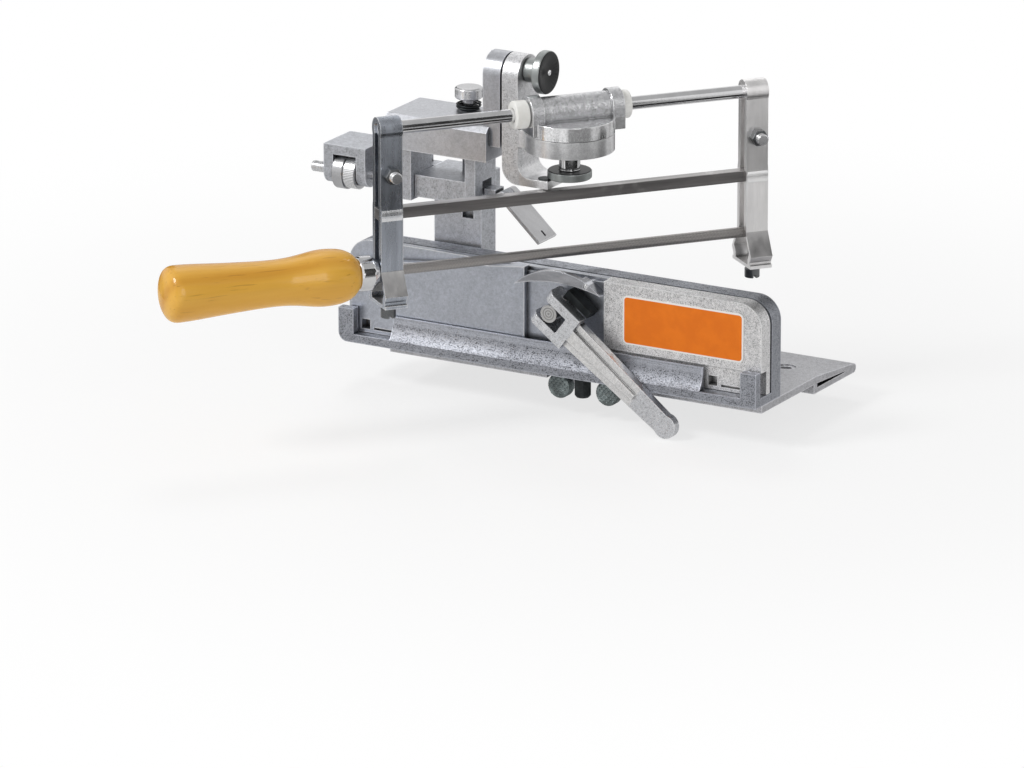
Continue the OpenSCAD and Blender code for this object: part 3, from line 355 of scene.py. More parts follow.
# %% Milled, plated, blackened and turned metal
def milled_metal(name, tone, stretch, lines=0.4, rough=0.2, dim=0.66):
    f = Finish(name)
    streak = f.noise(260, 4, 0.6, stretch)
    cloud = f.noise(70, 3, 0.5)
    colour = f.mix(streak.step(0.25, 0.75), shade(tone, dim), tone)
    colour = f.mix(cloud.step(0.45, 0.75) * 0.35, colour, shade(tone, 0.7))
    # Painted shade in nooks; painted highlight and wear on edges.
    colour = f.shade_nooks_shine_edges(colour, shade(tone, 0.15), shade(tone, 2.0))
    f.bump(streak, 0.16 * lines, 0.0003)
    return f.set(Base_Color=colour, Metallic=1.0, Roughness=streak * 0.18 + cloud * 0.1 + rough)


def plated_metal(name, tone, rough):
    f = Finish(name)
    haze = f.noise(120, 4, 0.5)
    colour = f.mix(haze.step(0.4, 0.7), shade(tone, 0.9), tone)
    # Painted shade in nooks; painted highlight and wear on edges.
    colour = f.shade_nooks_shine_edges(colour, shade(tone, 0.15), shade(tone, 1.6))
    f.bump(f.noise(900, 2, 0.5), 0.03, 0.0002)
    return f.set(Base_Color=colour, Metallic=1.0, Roughness=haze * 0.08 + rough)


def blackened_metal(name, tone, stretch, turn=(0, 0, 0), rough=0.3):
    f = Finish(name, turn)
    streak = f.noise(240, 5, 0.6, stretch)
    cloud = f.noise(60, 4, 0.6)
    colour = f.mix(streak.step(0.3, 0.75), shade(tone, 0.5), tone)
    colour = f.mix(cloud.step(0.55, 0.8) * 0.5, colour, shade(tone, 2.2))
    f.bump(streak, 0.15, 0.0003)
    return f.set(Base_Color=colour, Metallic=0.9, Roughness=streak * 0.2 + cloud * 0.12 + rough)


RINGS = 5200


def turned_end(name, tone):
    f = Finish(name)
    x, y, z = f.axes()
    dx, dz = x - pin.x, z - pin.z
    rings = ((dx * dx + dz * dz).power(0.5) * RINGS).sine() * 0.5 + 0.5
    haze = f.noise(300, 4, 0.6)
    colour = f.mix(rings * 0.6 + haze * 0.3, tone, shade(tone, 0.35))
    # Painted shade in nooks; painted highlight and wear on edges.
    colour = f.shade_nooks_shine_edges(colour, shade(tone, 0.2), shade(tone, 1.3))
    f.bump(rings, 0.3, 0.00012)
    return f.set(Base_Color=colour, Metallic=1.0, Roughness=haze * 0.15 + 0.16)


# %% Sheet, plating and dark steel
TURN_FILE = (0, 0, -FILE_ANGLE)
EVEN, ALONG_BAR = (1, 1, 1), (0.05, 1, 1)
finish |= {
    "sheet": milled_metal("zinc-plated sheet", (0.52, 0.555, 0.62), (1, 1, 0.1), rough=0.14),
    "pale_sheet": milled_metal("pale zinc-plated sheet", (1.0, 0.985, 0.98), (1, 1, 0.12), dim=0.84),
    "leaf": milled_metal("hood leaf steel", (0.42, 0.425, 0.45), (0.3, 1, 1), lines=0.3, rough=0.08),
    "chrome": plated_metal("ground and plated rod", (0.78, 0.78, 0.79), 0.07),
    "satin": plated_metal("satin plating", (0.62, 0.62, 0.63), 0.2),
    "dark_plate": plated_metal("dark zinc plating", (0.17, 0.175, 0.18), 0.24),
    "rim": plated_metal("grey knob rim", (0.38, 0.40, 0.395), 0.32),
    "pawl": plated_metal("bright stop steel", (0.50, 0.50, 0.51), 0.2),
    "edge": blackened_metal("dark edge screws", (0.27, 0.31, 0.31), EVEN),
    "black_bar": blackened_metal("blackened bar", (0.235, 0.225, 0.222), ALONG_BAR, TURN_FILE),
    # A paler copy of the blackened bar for its top faces: a painted highlight.
    "bar_top_highlight": blackened_metal("blackened bar with painted highlight", (0.50, 0.485, 0.48), ALONG_BAR, TURN_FILE, rough=0.2),
    "black_steel": blackened_metal("blackened steel", (0.045, 0.05, 0.052), EVEN, rough=0.26),
    "stud_end": turned_end("turned stud end", (0.62, 0.615, 0.61)),
}
print("metals:", len(finish))

# %% [markdown]
# ## File teeth
# A round file is cut with fine spiral rows in both directions. At this size two crossed sine waves in the
# bump are enough: their height follows the angle round the file and the distance along it.

# %% Cut file steel
TOOTH_ROWS = 9000
SPIRAL, COUNTER_SPIRAL = 9, 7


def file_steel():
    f = Finish("cut file steel", TURN_FILE)
    x, y, z = f.axes()
    angle = (z - FILE_Z).math("ARCTAN2", y)
    one = (x * TOOTH_ROWS + angle * SPIRAL).sine()
    two = (x * TOOTH_ROWS - angle * COUNTER_SPIRAL).sine()
    cut = (one + two) * 0.25 + 0.5
    cloud = f.noise(80, 4, 0.6)
    colour = f.mix(cut.step(0.2, 0.9), (0.26, 0.25, 0.245), (0.52, 0.495, 0.48))
    colour = f.mix(cloud.step(0.5, 0.8) * 0.4, colour, (0.36, 0.345, 0.335))
    f.bump(cut, 0.35, 0.0002)
    return f.set(Base_Color=colour, Metallic=1.0, Roughness=cloud * 0.15 + 0.3)


finish["file"] = file_steel()
print("file rows to the metre:", round(TOOTH_ROWS / (2 * math.pi)))

# %% [markdown]
# ## Varnished wood
# The handle is pale turned wood under a thick glossy varnish. The grain runs along the handle, so the noise
# is squeezed in that direction, and fine dark pores lie in the same lines. The varnish is the shader's
# coat, a clear layer with its own gloss over the wood's colour.

# %% Varnished wood
FIBRE_LINES, PORE_LINES = (0.035, 1, 1), (0.03, 1, 1)
PALE_WOOD, DARK_WOOD = (0.82, 0.45, 0.055), (0.60, 0.26, 0.012)
BLUSH_WOOD, PORE_WOOD = (0.86, 0.50, 0.08), (0.34, 0.14, 0.01)


def varnished_wood():
    f = Finish("varnished wood", TURN_FILE)
    x, y, z = f.axes()
    bend = f.noise(14, 2, 0.5, (0.35, 1, 1))
    rings = (y * 520 + (z - FILE_Z) * 300 + bend * 7).sine() * 0.5 + 0.5
    fibre = f.noise(420, 5, 0.6, FIBRE_LINES)
    pores = f.noise(900, 2, 0.5, PORE_LINES).step(0.62, 0.74)
    blush = f.noise(22, 3, 0.5, (0.4, 1, 1))
    colour = f.mix(rings.power(1.6) * 0.55 + fibre * 0.5, PALE_WOOD, DARK_WOOD)
    colour = f.mix(blush.step(0.45, 0.75) * 0.45, colour, BLUSH_WOOD)
    colour = f.mix(pores * 0.45, colour, PORE_WOOD)
    f.bump(fibre * 0.6 - pores * 0.5, 0.1, 0.0003)
    return f.set(Base_Color=colour, Roughness=fibre * 0.15 + 0.42, Specular_IOR_Level=0.3,
                 Coat_Weight=0.55, Coat_Roughness=0.1, IOR=1.5)


finish["wood"] = varnished_wood()
print("wood nodes:", len(finish["wood"].node_tree.nodes))

# %% [markdown]
# ## Plastic, nylon and the label
# The knobs are black moulded plastic and the bushes white nylon, both with a faint mould grain. The plate
# on the jaw is orange paint with a thin pale border, left bare. The border is the part of the plate that
# lies within a short distance of a rectangle with round corners, so it is drawn by arithmetic on the place
# and needs no image.


# %% Plastic and nylon
def black_plastic():
    f = Finish("black moulded plastic")
    grain = f.noise(1400, 3, 0.6)
    cloud = f.noise(90, 3, 0.5)
    colour = f.mix(cloud.step(0.4, 0.8), (0.006, 0.0065, 0.007), (0.014, 0.015, 0.016))
    f.bump(grain, 0.1, 0.0002)
    return f.set(Base_Color=colour, Roughness=grain * 0.15 + 0.26, Specular_IOR_Level=0.3)


def white_nylon():
    f = Finish("white nylon")
    cloud = f.noise(160, 4, 0.6)
    colour = f.mix(cloud.step(0.35, 0.75), (0.80, 0.79, 0.75), (0.90, 0.895, 0.87))
    f.bump(f.noise(900, 3, 0.6), 0.08, 0.0003)
    return f.set(Base_Color=colour, Roughness=cloud * 0.15 + 0.4)


finish["plastic"] = black_plastic()
finish["nylon"] = white_nylon()
print("plastics:", finish["plastic"].name, "and", finish["nylon"].name)

# %% Label paint
LABEL_CORNER, BORDER, BORDER_END = 0.0024, 0.0007, 0.0009


def label_paint():
    f = Finish("orange label paint")
    x, y, z = f.axes()
    centre, half = middle("label_plate"), extent("label_plate") / 2
    dx = (abs(x - centre.x) - (half.x - LABEL_CORNER)).math("MAXIMUM", 0.0)
    dz = (abs(z - centre.z) - (half.z - LABEL_CORNER)).math("MAXIMUM", 0.0)
    from_edge = LABEL_CORNER - (dx * dx + dz * dz).power(0.5)
    cloud = f.noise(140, 4, 0.55)
    orange = f.mix(cloud.step(0.35, 0.7), (0.76, 0.17, 0.008), (0.82, 0.195, 0.010))
    colour = f.mix(from_edge.step(BORDER, BORDER_END), (0.86, 0.85, 0.82), orange)
    f.bump(f.noise(1100, 2, 0.5), 0.05, 0.0002)
    return f.set(Base_Color=colour, Roughness=cloud * 0.12 + 0.42, Specular_IOR_Level=0.2)


finish["label"] = label_paint()
print("finishes:", len(finish))

# %% [markdown]
# ## Skins with round edges
# A CAD node's mesh is loose triangles with sharp edges. A copy of it is merged, its flat faces are joined,
# and a Bevel modifier rounds every edge by a fraction of a millimetre. The skin then stands for the node.
# Rounding in the CAD source would do the same, but it makes the solids heavy.


# %% Skin helpers
def add_object(name, mesh):
    piece = bpy.data.objects.new(name, mesh)
    bpy.context.scene.collection.objects.link(piece)
    return piece


def mesh_from(bm, name):
    mesh = bpy.data.meshes.new(name)
    bm.to_mesh(mesh)
    bm.free()
    return mesh


def settled(piece):
    graph = bpy.context.evaluated_depsgraph_get()
    mesh = bpy.data.meshes.new_from_object(piece.evaluated_get(graph))
    piece.modifiers.clear()
    piece.data = mesh
    return piece


def finished(piece, body, material, stands_for=()):
    piece.data.materials.clear()
    piece.data.materials.append(material)
    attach(piece, body)
    if stands_for:
        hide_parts(*stands_for)
    return piece


MERGE, FLAT, SHARP = 2e-6, math.radians(0.6), math.radians(28)


def skin(node, look, width_mm):
    bm = bmesh.new()
    bm.from_mesh(nodes[node].data)
    bmesh.ops.remove_doubles(bm, verts=bm.verts, dist=MERGE)
    bmesh.ops.dissolve_limit(bm, angle_limit=FLAT, verts=bm.verts, edges=bm.edges)
    mesh = mesh_from(bm, node + "_skin")
    mesh.shade_smooth()
    piece = add_object(node + "_skin", mesh)
    bevel = piece.modifiers.new("round edges", "BEVEL")
    bevel.width, bevel.segments = width_mm * 0.001, 3
    bevel.limit_method, bevel.angle_limit = "ANGLE", SHARP
    bevel.use_clamp_overlap, bevel.miter_outer = True, "MITER_ARC"
    flat = piece.modifiers.new("flat faces stay flat", "WEIGHTED_NORMAL")
    flat.mode, flat.weight, flat.keep_sharp = "FACE_AREA_WITH_ANGLE", 100, True
    return finished(settled(piece), body_of[node], finish[look], (node,))


# %% All skins: finish and edge radius in millimetres
skins = {
    "rail_body": ("rough_cast", 0.6), "base_plate": ("plate", 0.4), "front_jaw": ("jaw", 0.5),
    "column_post": ("cast", 0.5), "adjuster_bracket": ("cast", 0.8), "slide_housing": ("housing", 0.6),
    "tilt_arm": ("arm", 0.6), "swivel_head": ("head", 0.6), "clamp_lever": ("lever", 0.4),
    "cam_block": ("black_steel", 0.4), "hood_leaf": ("leaf", 1.1), "stop_pawl": ("pawl", 0.25),
    "pawl_bar": ("cast", 0.4), "flat_bar": ("black_bar", 0.35), "front_bracket": ("sheet", 0.5),
    "rear_bracket": ("pale_sheet", 0.5), "front_bush": ("nylon", 0.8), "rear_bush": ("nylon", 0.8),
    "clamp_stud": ("stud_end", 0.6), "stud_nut": ("satin", 0.5), "rail_bolt": ("black_steel", 0.4),
    "bracket_nuts": ("dark_plate", 0.5), "bracket_bolts": ("satin", 0.4), "file_screws": ("dark_plate", 0.35),
    "tilt_knob": ("plastic", 0.4), "label_plate": ("label", 0.12), "guide_rod": ("chrome", 0.4),
    "round_file": ("file", 0.2), "ferrule": ("chrome", 0.4), "tilt_bolt": ("satin", 0.5),
    "rest_screw": ("black_steel", 0.3), "hood_rivet": ("satin", 0.4), "plate_screws": ("black_steel", 0.4),
    "post_screws": ("black_steel", 0.4), "swivel_stud": ("satin", 0.3), "pawl_pin": ("satin", 0.2),
    "jaw_pins": ("satin", 0.2), "lever_pin": ("satin", 0.3), "adjuster_spindle": ("satin", 0.3),
    "height_screw": ("satin", 0.4),
}
made = {node: skin(node, look, width_mm) for node, (look, width_mm) in skins.items()}
print("skins:", len(made), "faces:", sum(len(p.data.polygons) for p in made.values()))

# %% [markdown]
# ## Second coats
# Some pieces have two finishes. The hood's lower edge, the bar's upper edge and the foot of the front
# bracket get a paler finish as a painted highlight, and the tilt knob has a black face, a grey rim and a
# bright dot in the middle. A piece may carry several materials, and here the way a face points, or where it
# lies, decides which one it gets. The dot is a shallow dome.


# %% Painted highlights and second coats
def second_coat(piece, look, chosen):
    piece.data.materials.append(finish[look])
    picked = [face for face in piece.data.polygons if chosen(face)]
    for face in picked:
        face.material_index = len(piece.data.materials) - 1
    print(piece.name, look, "on faces:", len(picked))


UNDERSIDE, TOP, SLOPE = -0.25, 0.6, 0.1


# Upward-tilted faces below the file, which get a painted highlight.
def on_foot(face):
    return face.normal.z > SLOPE and face.center.z < FILE_Z


# Painted highlight: the hood's downward-facing faces get the pale sheet finish.
second_coat(made["hood_leaf"], "pale_sheet", lambda face: face.normal.z < UNDERSIDE)
# Painted highlight: the bar's upward-facing faces get the paler bar finish.
second_coat(made["flat_bar"], "bar_top_highlight", lambda face: face.normal.z > TOP)
# Painted highlight: the front bracket's upward-tilted foot gets the pale sheet finish.
second_coat(made["front_bracket"], "pale_sheet", on_foot)

# %% Tilt knob: rim and dot
DOT_R, DOT_SUNK, DOT_FLAT = 0.0014, 0.0003, 0.5
ROUND_SIDE = 0.6
second_coat(made["tilt_knob"], "rim", lambda face: abs(face.normal.x) < ROUND_SIDE)
dome = bmesh.new()
bmesh.ops.create_uvsphere(dome, u_segments=24, v_segments=12, radius=DOT_R)
bmesh.ops.bisect_plane(dome, geom=dome.verts[:] + dome.edges[:] + dome.faces[:], plane_co=(-DOT_SUNK, 0, 0),
                       plane_no=(-1, 0, 0), clear_outer=True)
bmesh.ops.holes_fill(dome, edges=dome.edges[:])
bmesh.ops.scale(dome, vec=(DOT_FLAT, 1, 1), verts=dome.verts[:])
knob_at = middle("tilt_knob")
knob_at.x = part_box("tilt_knob")[1].x
bmesh.ops.translate(dome, vec=knob_at, verts=dome.verts[:])
eye = add_object("tilt_knob_eye", mesh_from(dome, "tilt_knob_eye"))
eye.data.shade_smooth()
finished(eye, body_of["tilt_knob"], finish["satin"])
print("dot faces:", len(eye.data.polygons))

# %% [markdown]
# ## Beads across the brackets
# Where the flat bar passes between a bracket's legs, the strip is pressed out into a low round bead. It is
# half an ellipse, drawn out over the strip's width. A ray from outside finds the strip's face, so the bead
# sits on it.

# %% Bracket beads
BEAD_RISE, BEAD_HALF, BEAD_STEPS = 0.0007, 0.0027, 10
BEAD_SUNK, BEAD_INSET = 0.0002, 0.0004
WELL_OUTSIDE = 0.05


def face_at(node, u, z):
    mesh = nodes[node].data
    surface = BVHTree.FromPolygons([v.co for v in mesh.vertices], [p.vertices[:] for p in mesh.polygons])
    outside = ALONG * u + ACROSS * WELL_OUTSIDE + Vector((0, 0, z))
    return surface.ray_cast(outside, -ACROSS)[0].dot(ACROSS)


def bead(node, look):
    start, stop = span(node, ALONG)
    face = face_at(node, (start + stop) / 2, BAR_Z) - BEAD_SUNK
    bm = bmesh.new()
    rows = []
    for u in (start + BEAD_INSET, stop - BEAD_INSET):
        row = []
        for i in range(BEAD_STEPS + 1):
            turn = math.pi * (i / BEAD_STEPS - 0.5)
            spot = ALONG * u + ACROSS * (face + BEAD_RISE * math.cos(turn))
            row.append(bm.verts.new((spot.x, spot.y, BAR_Z + BEAD_HALF * math.sin(turn))))
        rows.append(row)
    for corners in zip(rows[0], rows[0][1:], rows[1][1:], rows[1]):
        bm.faces.new(corners)
    bm.faces.new(rows[0])
    bm.faces.new(list(reversed(rows[1])))
    bm.faces.new((rows[0][0], rows[1][0], rows[1][-1], rows[0][-1]))
    bmesh.ops.recalc_face_normals(bm, faces=bm.faces[:])
    piece = add_object(node + "_bead", mesh_from(bm, node + "_bead"))
    return finished(piece, body_of[node], finish[look])


for node, look in (("front_bracket", "sheet"), ("rear_bracket", "pale_sheet")):
    raised = bead(node, look)
    print(raised.name, "out to", round(max(v.co.dot(ACROSS) for v in raised.data.vertices), 5))

# %% [markdown]
# ## Knurls and threads
# A knurl is one small tooth repeated round a rim, and a thread is one profile swept along a helix. Both
# follow a rule, so Geometry Nodes make them: each tree has its sizes as named inputs and ends in real mesh.
# The result is settled into a plain mesh before it is moved into place.


# %% Tree helpers
def new_tree(name, **inputs):
    tree = bpy.data.node_groups.new(name, "GeometryNodeTree")
    tree.interface.new_socket("Geometry", in_out="OUTPUT", socket_type="NodeSocketGeometry")
    for label, value in inputs.items():
        kind = "NodeSocketInt" if isinstance(value, int) else "NodeSocketFloat"
        tree.interface.new_socket(label, in_out="INPUT", socket_type=kind).default_value = value
    return tree, tree.nodes.new("NodeGroupInput").outputs


def first_of(tree, kind, inputs, **settings):
    return add_node(tree, kind, settings, inputs).outputs[0]


def round_the_rim(tree, radius, resolution, count, block):
    ring = first_of(tree, "GeometryNodeCurvePrimitiveCircle", {"Radius": radius, "Resolution": resolution})
    points = first_of(tree, "GeometryNodeCurveToPoints", {"Curve": ring, "Count": count}, mode="COUNT")
    place = first_of(tree, "GeometryNodeInputPosition", {})
    turned = first_of(tree, "FunctionNodeAlignRotationToVector", {"Vector": place}, axis="X")
    inputs = {"Points": points, "Instance": block, "Rotation": turned}
    return first_of(tree, "GeometryNodeInstanceOnPoints", inputs)


def close_tree(tree, geometry, material):
    real = first_of(tree, "GeometryNodeRealizeInstances", {"Geometry": geometry})
    painted = first_of(tree, "GeometryNodeSetMaterial", {"Geometry": real, "Material": material})
    add_node(tree, "NodeGroupOutput", {}, {0: painted})
    return tree


def grown(name, tree, look, sizes, place, body):
    piece = add_object(name, bpy.data.meshes.new(name))
    modifier = piece.modifiers.new("grow", "NODES")
    modifier.node_group = tree
    for item in tree.interface.items_tree:
        if item.in_out == "INPUT":
            modifier[item.identifier] = sizes[item.name]
    settled(piece)
    piece.data.transform(place)
    return finished(piece, body, finish[look])


# %% Knurl and thread trees
# Of the rim's two pi radii, the teeth together take this many.
TEETH_ARC = 4.2


def knurl_tree(material):
    tree, given = new_tree("knurl round a rim", Radius=0.008, Length=0.01, Teeth=48, Depth=0.0004)
    all_teeth = maths(tree, "MULTIPLY", given["Radius"], TEETH_ARC)
    width = maths(tree, "DIVIDE", all_teeth, given["Teeth"])
    size = first_of(tree, "ShaderNodeCombineXYZ", {0: given["Depth"], 1: width, 2: given["Length"]})
    tooth = first_of(tree, "GeometryNodeMeshCube", {"Size": size})
    return close_tree(tree, round_the_rim(tree, given["Radius"], 96, given["Teeth"], tooth), material)


def thread_tree(material):
    tree, given = new_tree("thread on a shank", Radius=0.003, Length=0.01, Pitch=0.001, Depth=0.0003)
    turns = maths(tree, "DIVIDE", given["Length"], given["Pitch"])
    helix = first_of(tree, "GeometryNodeCurveSpiral", {
        "Resolution": 28, "Rotations": turns, "Start Radius": given["Radius"],
        "End Radius": given["Radius"], "Height": given["Length"]})
    ridge = first_of(tree, "GeometryNodeCurvePrimitiveCircle", {"Resolution": 4, "Radius": given["Depth"]})
    inputs = {"Curve": helix, "Profile Curve": ridge, "Fill Caps": True}
    return close_tree(tree, first_of(tree, "GeometryNodeCurveToMesh", inputs), material)


knurls = {look: knurl_tree(finish[look]) for look in ("satin", "rim", "edge")}
threads = {look: thread_tree(finish[look]) for look in ("satin", "dark_plate", "black_steel")}


def add_knurl(name, look, place, body, radius, length, teeth, depth):
    sizes = {"Radius": radius, "Length": length, "Teeth": teeth, "Depth": depth}
    return grown(name, knurls[look], look, sizes, place, body)


def add_thread(name, look, place, body, radius, length, depth, pitch=0.0008):
    sizes = {"Radius": radius, "Length": length, "Pitch": pitch, "Depth": depth}
    return grown(name, threads[look], look, sizes, place, body)


print("knurl trees:", len(knurls), "thread trees:", len(threads))

# %% [markdown]
# The adjuster nut, the turntable knob and the height screw have straight knurls. The trees draw round Z, so
# each result is turned to its shaft and moved into place. The turntable knob has three coats: a black face,
# a grey rim and a bright hub.

# %% Knurled rims
ALONG_X = Matrix.Rotation(math.radians(90), 4, "Y")
ALONG_Y = Matrix.Rotation(math.radians(-90), 4, "X")

nut_at, nut_size = middle("adjuster_nut"), extent("adjuster_nut")
knurl_at = nut_at + Vector((nut_size.x * 0.25, 0, 0))
skin("adjuster_nut", "pawl", 0.6)
add_knurl("adjuster_nut_knurl", "satin", Matrix.Translation(knurl_at) @ ALONG_X, "nut",
          radius=nut_size.z / 2 - 0.001, length=nut_size.x * 0.46, teeth=60, depth=0.0007)

knob_low, knob_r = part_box("clamp_knob")[0].z, extent("clamp_knob").x / 2
hub_r = knob_r * 0.6


def on_side(face):
    return abs(face.normal.z) < ROUND_SIDE


clamp_knob = skin("clamp_knob", "plastic", 0.6)
second_coat(clamp_knob, "rim", lambda face: on_side(face) and face.center.xy.length > hub_r)
second_coat(clamp_knob, "chrome", lambda face: on_side(face) and face.center.xy.length < hub_r)
knurl_at = Vector((0, 0, knob_low + 0.00195))
add_knurl("clamp_knob_knurl", "rim", Matrix.Translation(knurl_at), "turn_lock",
          radius=knob_r, length=0.0028, teeth=110, depth=0.0003)

screw_at, screw_r = middle("height_screw"), extent("height_screw").x / 2
screw_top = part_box("height_screw")[1].z
knurl_at = Vector((screw_at.x, screw_at.y, screw_top - 0.0027))
add_knurl("height_screw_knurl", "satin", Matrix.Translation(knurl_at), "height_knob",
          radius=screw_r - 0.0001, length=0.0038, teeth=80, depth=0.0003)
print("knurled rims: nut, turntable knob, height screw")

# %% [markdown]
# Threads show on the spindle's free end, on the two screws that hold the file and on the bracket bolts. The
# dark coil under the height screw's head is the same helix with a thicker wire.

# %% Threads and coil
FILE_SCREW_END = FILE_Z - 0.0169
BOLT_DROP, NUT_FACE = 0.0205, 0.0087
OUTWARD = ACROSS.to_track_quat("Z", "Y").to_matrix().to_4x4()

spindle_at = middle("adjuster_spindle")
spindle_at.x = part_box("adjuster_spindle")[0].x + 0.0004
add_thread("spindle_thread", "satin", Matrix.Translation(spindle_at) @ ALONG_X, "stop_slide",
           radius=0.0023, length=0.0072, depth=0.0003)
coil_at = Vector((screw_at.x, screw_at.y, screw_top - 0.0098))
add_thread("height_screw_coil", "black_steel", Matrix.Translation(coil_at), "height_knob",
           radius=0.0053, length=0.0022, depth=0.0006, pitch=0.0011)
for name, u in (("front", FRONT_U), ("rear", REAR_U)):
    screw_end = ALONG * u + Vector((0, 0, FILE_SCREW_END))
    add_thread(name + "_file_screw_thread", "dark_plate", Matrix.Translation(screw_end),
               "frame", radius=0.0019, length=0.0118, depth=0.00032)
    nut_face = ALONG * u + ACROSS * NUT_FACE + Vector((0, 0, ROD_Z - BOLT_DROP))
    add_thread(name + "_bolt_thread", "satin", Matrix.Translation(nut_face) @ OUTWARD,
               "frame", radius=0.0024, length=0.0032, depth=0.0003)
print("threads: spindle, file screws, bracket bolts; coil under the height screw")

# %% [markdown]
# ## Edge screws
# The two dark screws below the rail have diamond-knurled faces. A flat grid of points is trimmed to the
# head's circle, and a four-sided point is set on each. Turning the grid by 45 degrees makes diamonds of its
# squares.

# %% Knurled faces
POINT_SHARE = 0.66


def point_field_tree(material):
    tree, given = new_tree("points on a round face", Radius=0.0055, Spacing=0.0012, Height=0.0005)
    wide = maths(tree, "MULTIPLY", given["Radius"], 2.0)
    count = maths(tree, "DIVIDE", wide, given["Spacing"])
    grid = first_of(tree, "GeometryNodeMeshGrid", {
        "Size X": wide, "Size Y": wide, "Vertices X": count, "Vertices Y": count})
    place = first_of(tree, "GeometryNodeInputPosition", {})
    reach = add_node(tree, "ShaderNodeVectorMath", {"operation": "LENGTH"}, {0: place}).outputs["Value"]
    outside = maths(tree, "GREATER_THAN", reach, given["Radius"])
    inputs = {"Geometry": grid, "Selection": outside}
    kept = first_of(tree, "GeometryNodeDeleteGeometry", inputs, domain="POINT")
    point_r = maths(tree, "MULTIPLY", given["Spacing"], POINT_SHARE)
    point = first_of(tree, "GeometryNodeMeshCone", {
        "Vertices": 4, "Radius Top": 0.0, "Radius Bottom": point_r, "Depth": given["Height"]})
    field = first_of(tree, "GeometryNodeInstanceOnPoints", {"Points": kept, "Instance": point})
    return close_tree(tree, field, material)


point_field = point_field_tree(finish["edge"])
TO_FRONT = Matrix.Rotation(math.radians(90), 4, "X") @ Matrix.Rotation(math.radians(45), 4, "Z")
RIM_BACK = Vector((0, 0.0025, 0))
for side in ("left", "right"):
    node, body = "edge_screw_" + side, "edge_" + side
    head_r = extent(node).x / 2
    front = middle(node)
    front.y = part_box(node)[0].y
    skin(node, "edge", 0.5)
    sizes = {"Radius": head_r - 0.0007, "Spacing": 0.00125, "Height": 0.0006}
    grown(node + "_face", point_field, "edge", sizes,
          Matrix.Translation(front) @ TO_FRONT, body)
    add_knurl(node + "_rim", "edge", Matrix.Translation(front + RIM_BACK) @ ALONG_Y, body,
              radius=head_r, length=0.0038, teeth=44, depth=0.0006)
    print(node, "head radius:", round(head_r, 4))

# %% [markdown]
# ## Handle
# The handle is a turned shape: one radius for each place along its length. A lathe of many rings gives it
# smooth highlights, which the faceted CAD solid can't. The rings lie closer together at the butt, where the
# curve is tight.

# %% Turned handle
handle_end, ferrule_end = span("handle", ALONG)
HANDLE_L, HANDLE_D = ferrule_end - handle_end, 0.026
NECK, BUTT = 0.12, 0.1
RINGS_ALONG, RINGS_AT_BUTT, SIDES = 90, 30, 72


def swell(t, centre, width):
    return math.exp(-((t - centre) / width) ** 2)


def handle_radius(t):
    grip = 0.85 + 0.15 * swell(t, 0.17, 0.13) + 0.15 * swell(t, 0.95, 0.25) - 0.04 * swell(t, 0.42, 0.16)
    neck = math.sqrt(1 - 0.62 * max(0, 1 - t / NECK) ** 3)
    butt = math.sqrt(1 - max(0, (t - (1 - BUTT)) / BUTT) ** 4)
    return HANDLE_D / 2 * grip * neck * butt


def lathe(name, profile):
    bm = bmesh.new()
    angles = [2 * math.pi * k / SIDES for k in range(SIDES)]
    rings = []
    for x, r in profile:
        places = [(x, r * math.cos(a), r * math.sin(a)) for a in angles] if r else [(x, 0, 0)]
        rings.append([bm.verts.new(place) for place in places])
    for one, two in zip(rings, rings[1:]):
        for k in range(SIDES):
            a, b = one[k % len(one)], one[(k + 1) % len(one)]
            c, d = two[(k + 1) % len(two)], two[k % len(two)]
            bm.faces.new(list(dict.fromkeys((a, b, c, d))))
    bmesh.ops.recalc_face_normals(bm, faces=bm.faces)
    mesh = mesh_from(bm, name)
    mesh.shade_smooth()
    mesh.set_sharp_from_angle(angle=math.radians(40))
    return add_object(name, mesh)


even_steps = [i / RINGS_ALONG for i in range(RINGS_ALONG)]
butt_steps = [1 - BUTT * (1 - k / RINGS_AT_BUTT) ** 2 for k in range(RINGS_AT_BUTT)]
stations = sorted(set(even_steps + butt_steps))
outline = [(-HANDLE_L * t, handle_radius(t)) for t in stations]
handle = lathe("turned_handle", [(0, 0), *outline, (-HANDLE_L, 0)])
to_file = Matrix.Rotation(FILE_ANGLE, 4, "Z") @ Matrix.Translation((ferrule_end, 0, 0))
handle.data.transform(Matrix.Translation((0, 0, FILE_Z)) @ to_file)
finished(handle, "frame", finish["wood"], ("handle",))
print("handle faces:", len(handle.data.polygons))

# %% [markdown]
# ## Scale on the turntable
# A turntable like this one carries a faint scale of angles. One thin tick is repeated round the upper disc,
# by the same ring of instances that makes the knurls.

# %% Angle scale
TICKS, DISC_R, TICK_UP = 72, 0.0205, 0.0013


def tick_tree(material):
    tree, given = new_tree("ticks round a disc", Radius=DISC_R, Ticks=TICKS, Height=0.002)
    size = first_of(tree, "ShaderNodeCombineXYZ", {0: 0.00008, 1: 0.00022, 2: given["Height"]})
    tick = first_of(tree, "GeometryNodeMeshCube", {"Size": size})
    return close_tree(tree, round_the_rim(tree, given["Radius"], 144, given["Ticks"], tick), material)


disc_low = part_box("swivel_head")[0].z
sizes = {"Radius": DISC_R, "Ticks": TICKS, "Height": 0.0011}
grown("turntable_scale", tick_tree(finish["rim"]), "rim", sizes,
      Matrix.Translation((0, 0, disc_low + TICK_UP)), "head")
print("scale ticks:", TICKS)

# %% [markdown]
# ## Light
# The photograph has a white ground and soft light from the upper left. The world is white to the camera,
# nearly so in reflections, and dimmer as a light on the object, so that colours come out about as they are
# written. A key lamp, a weak fill and a lamp behind give the shape.

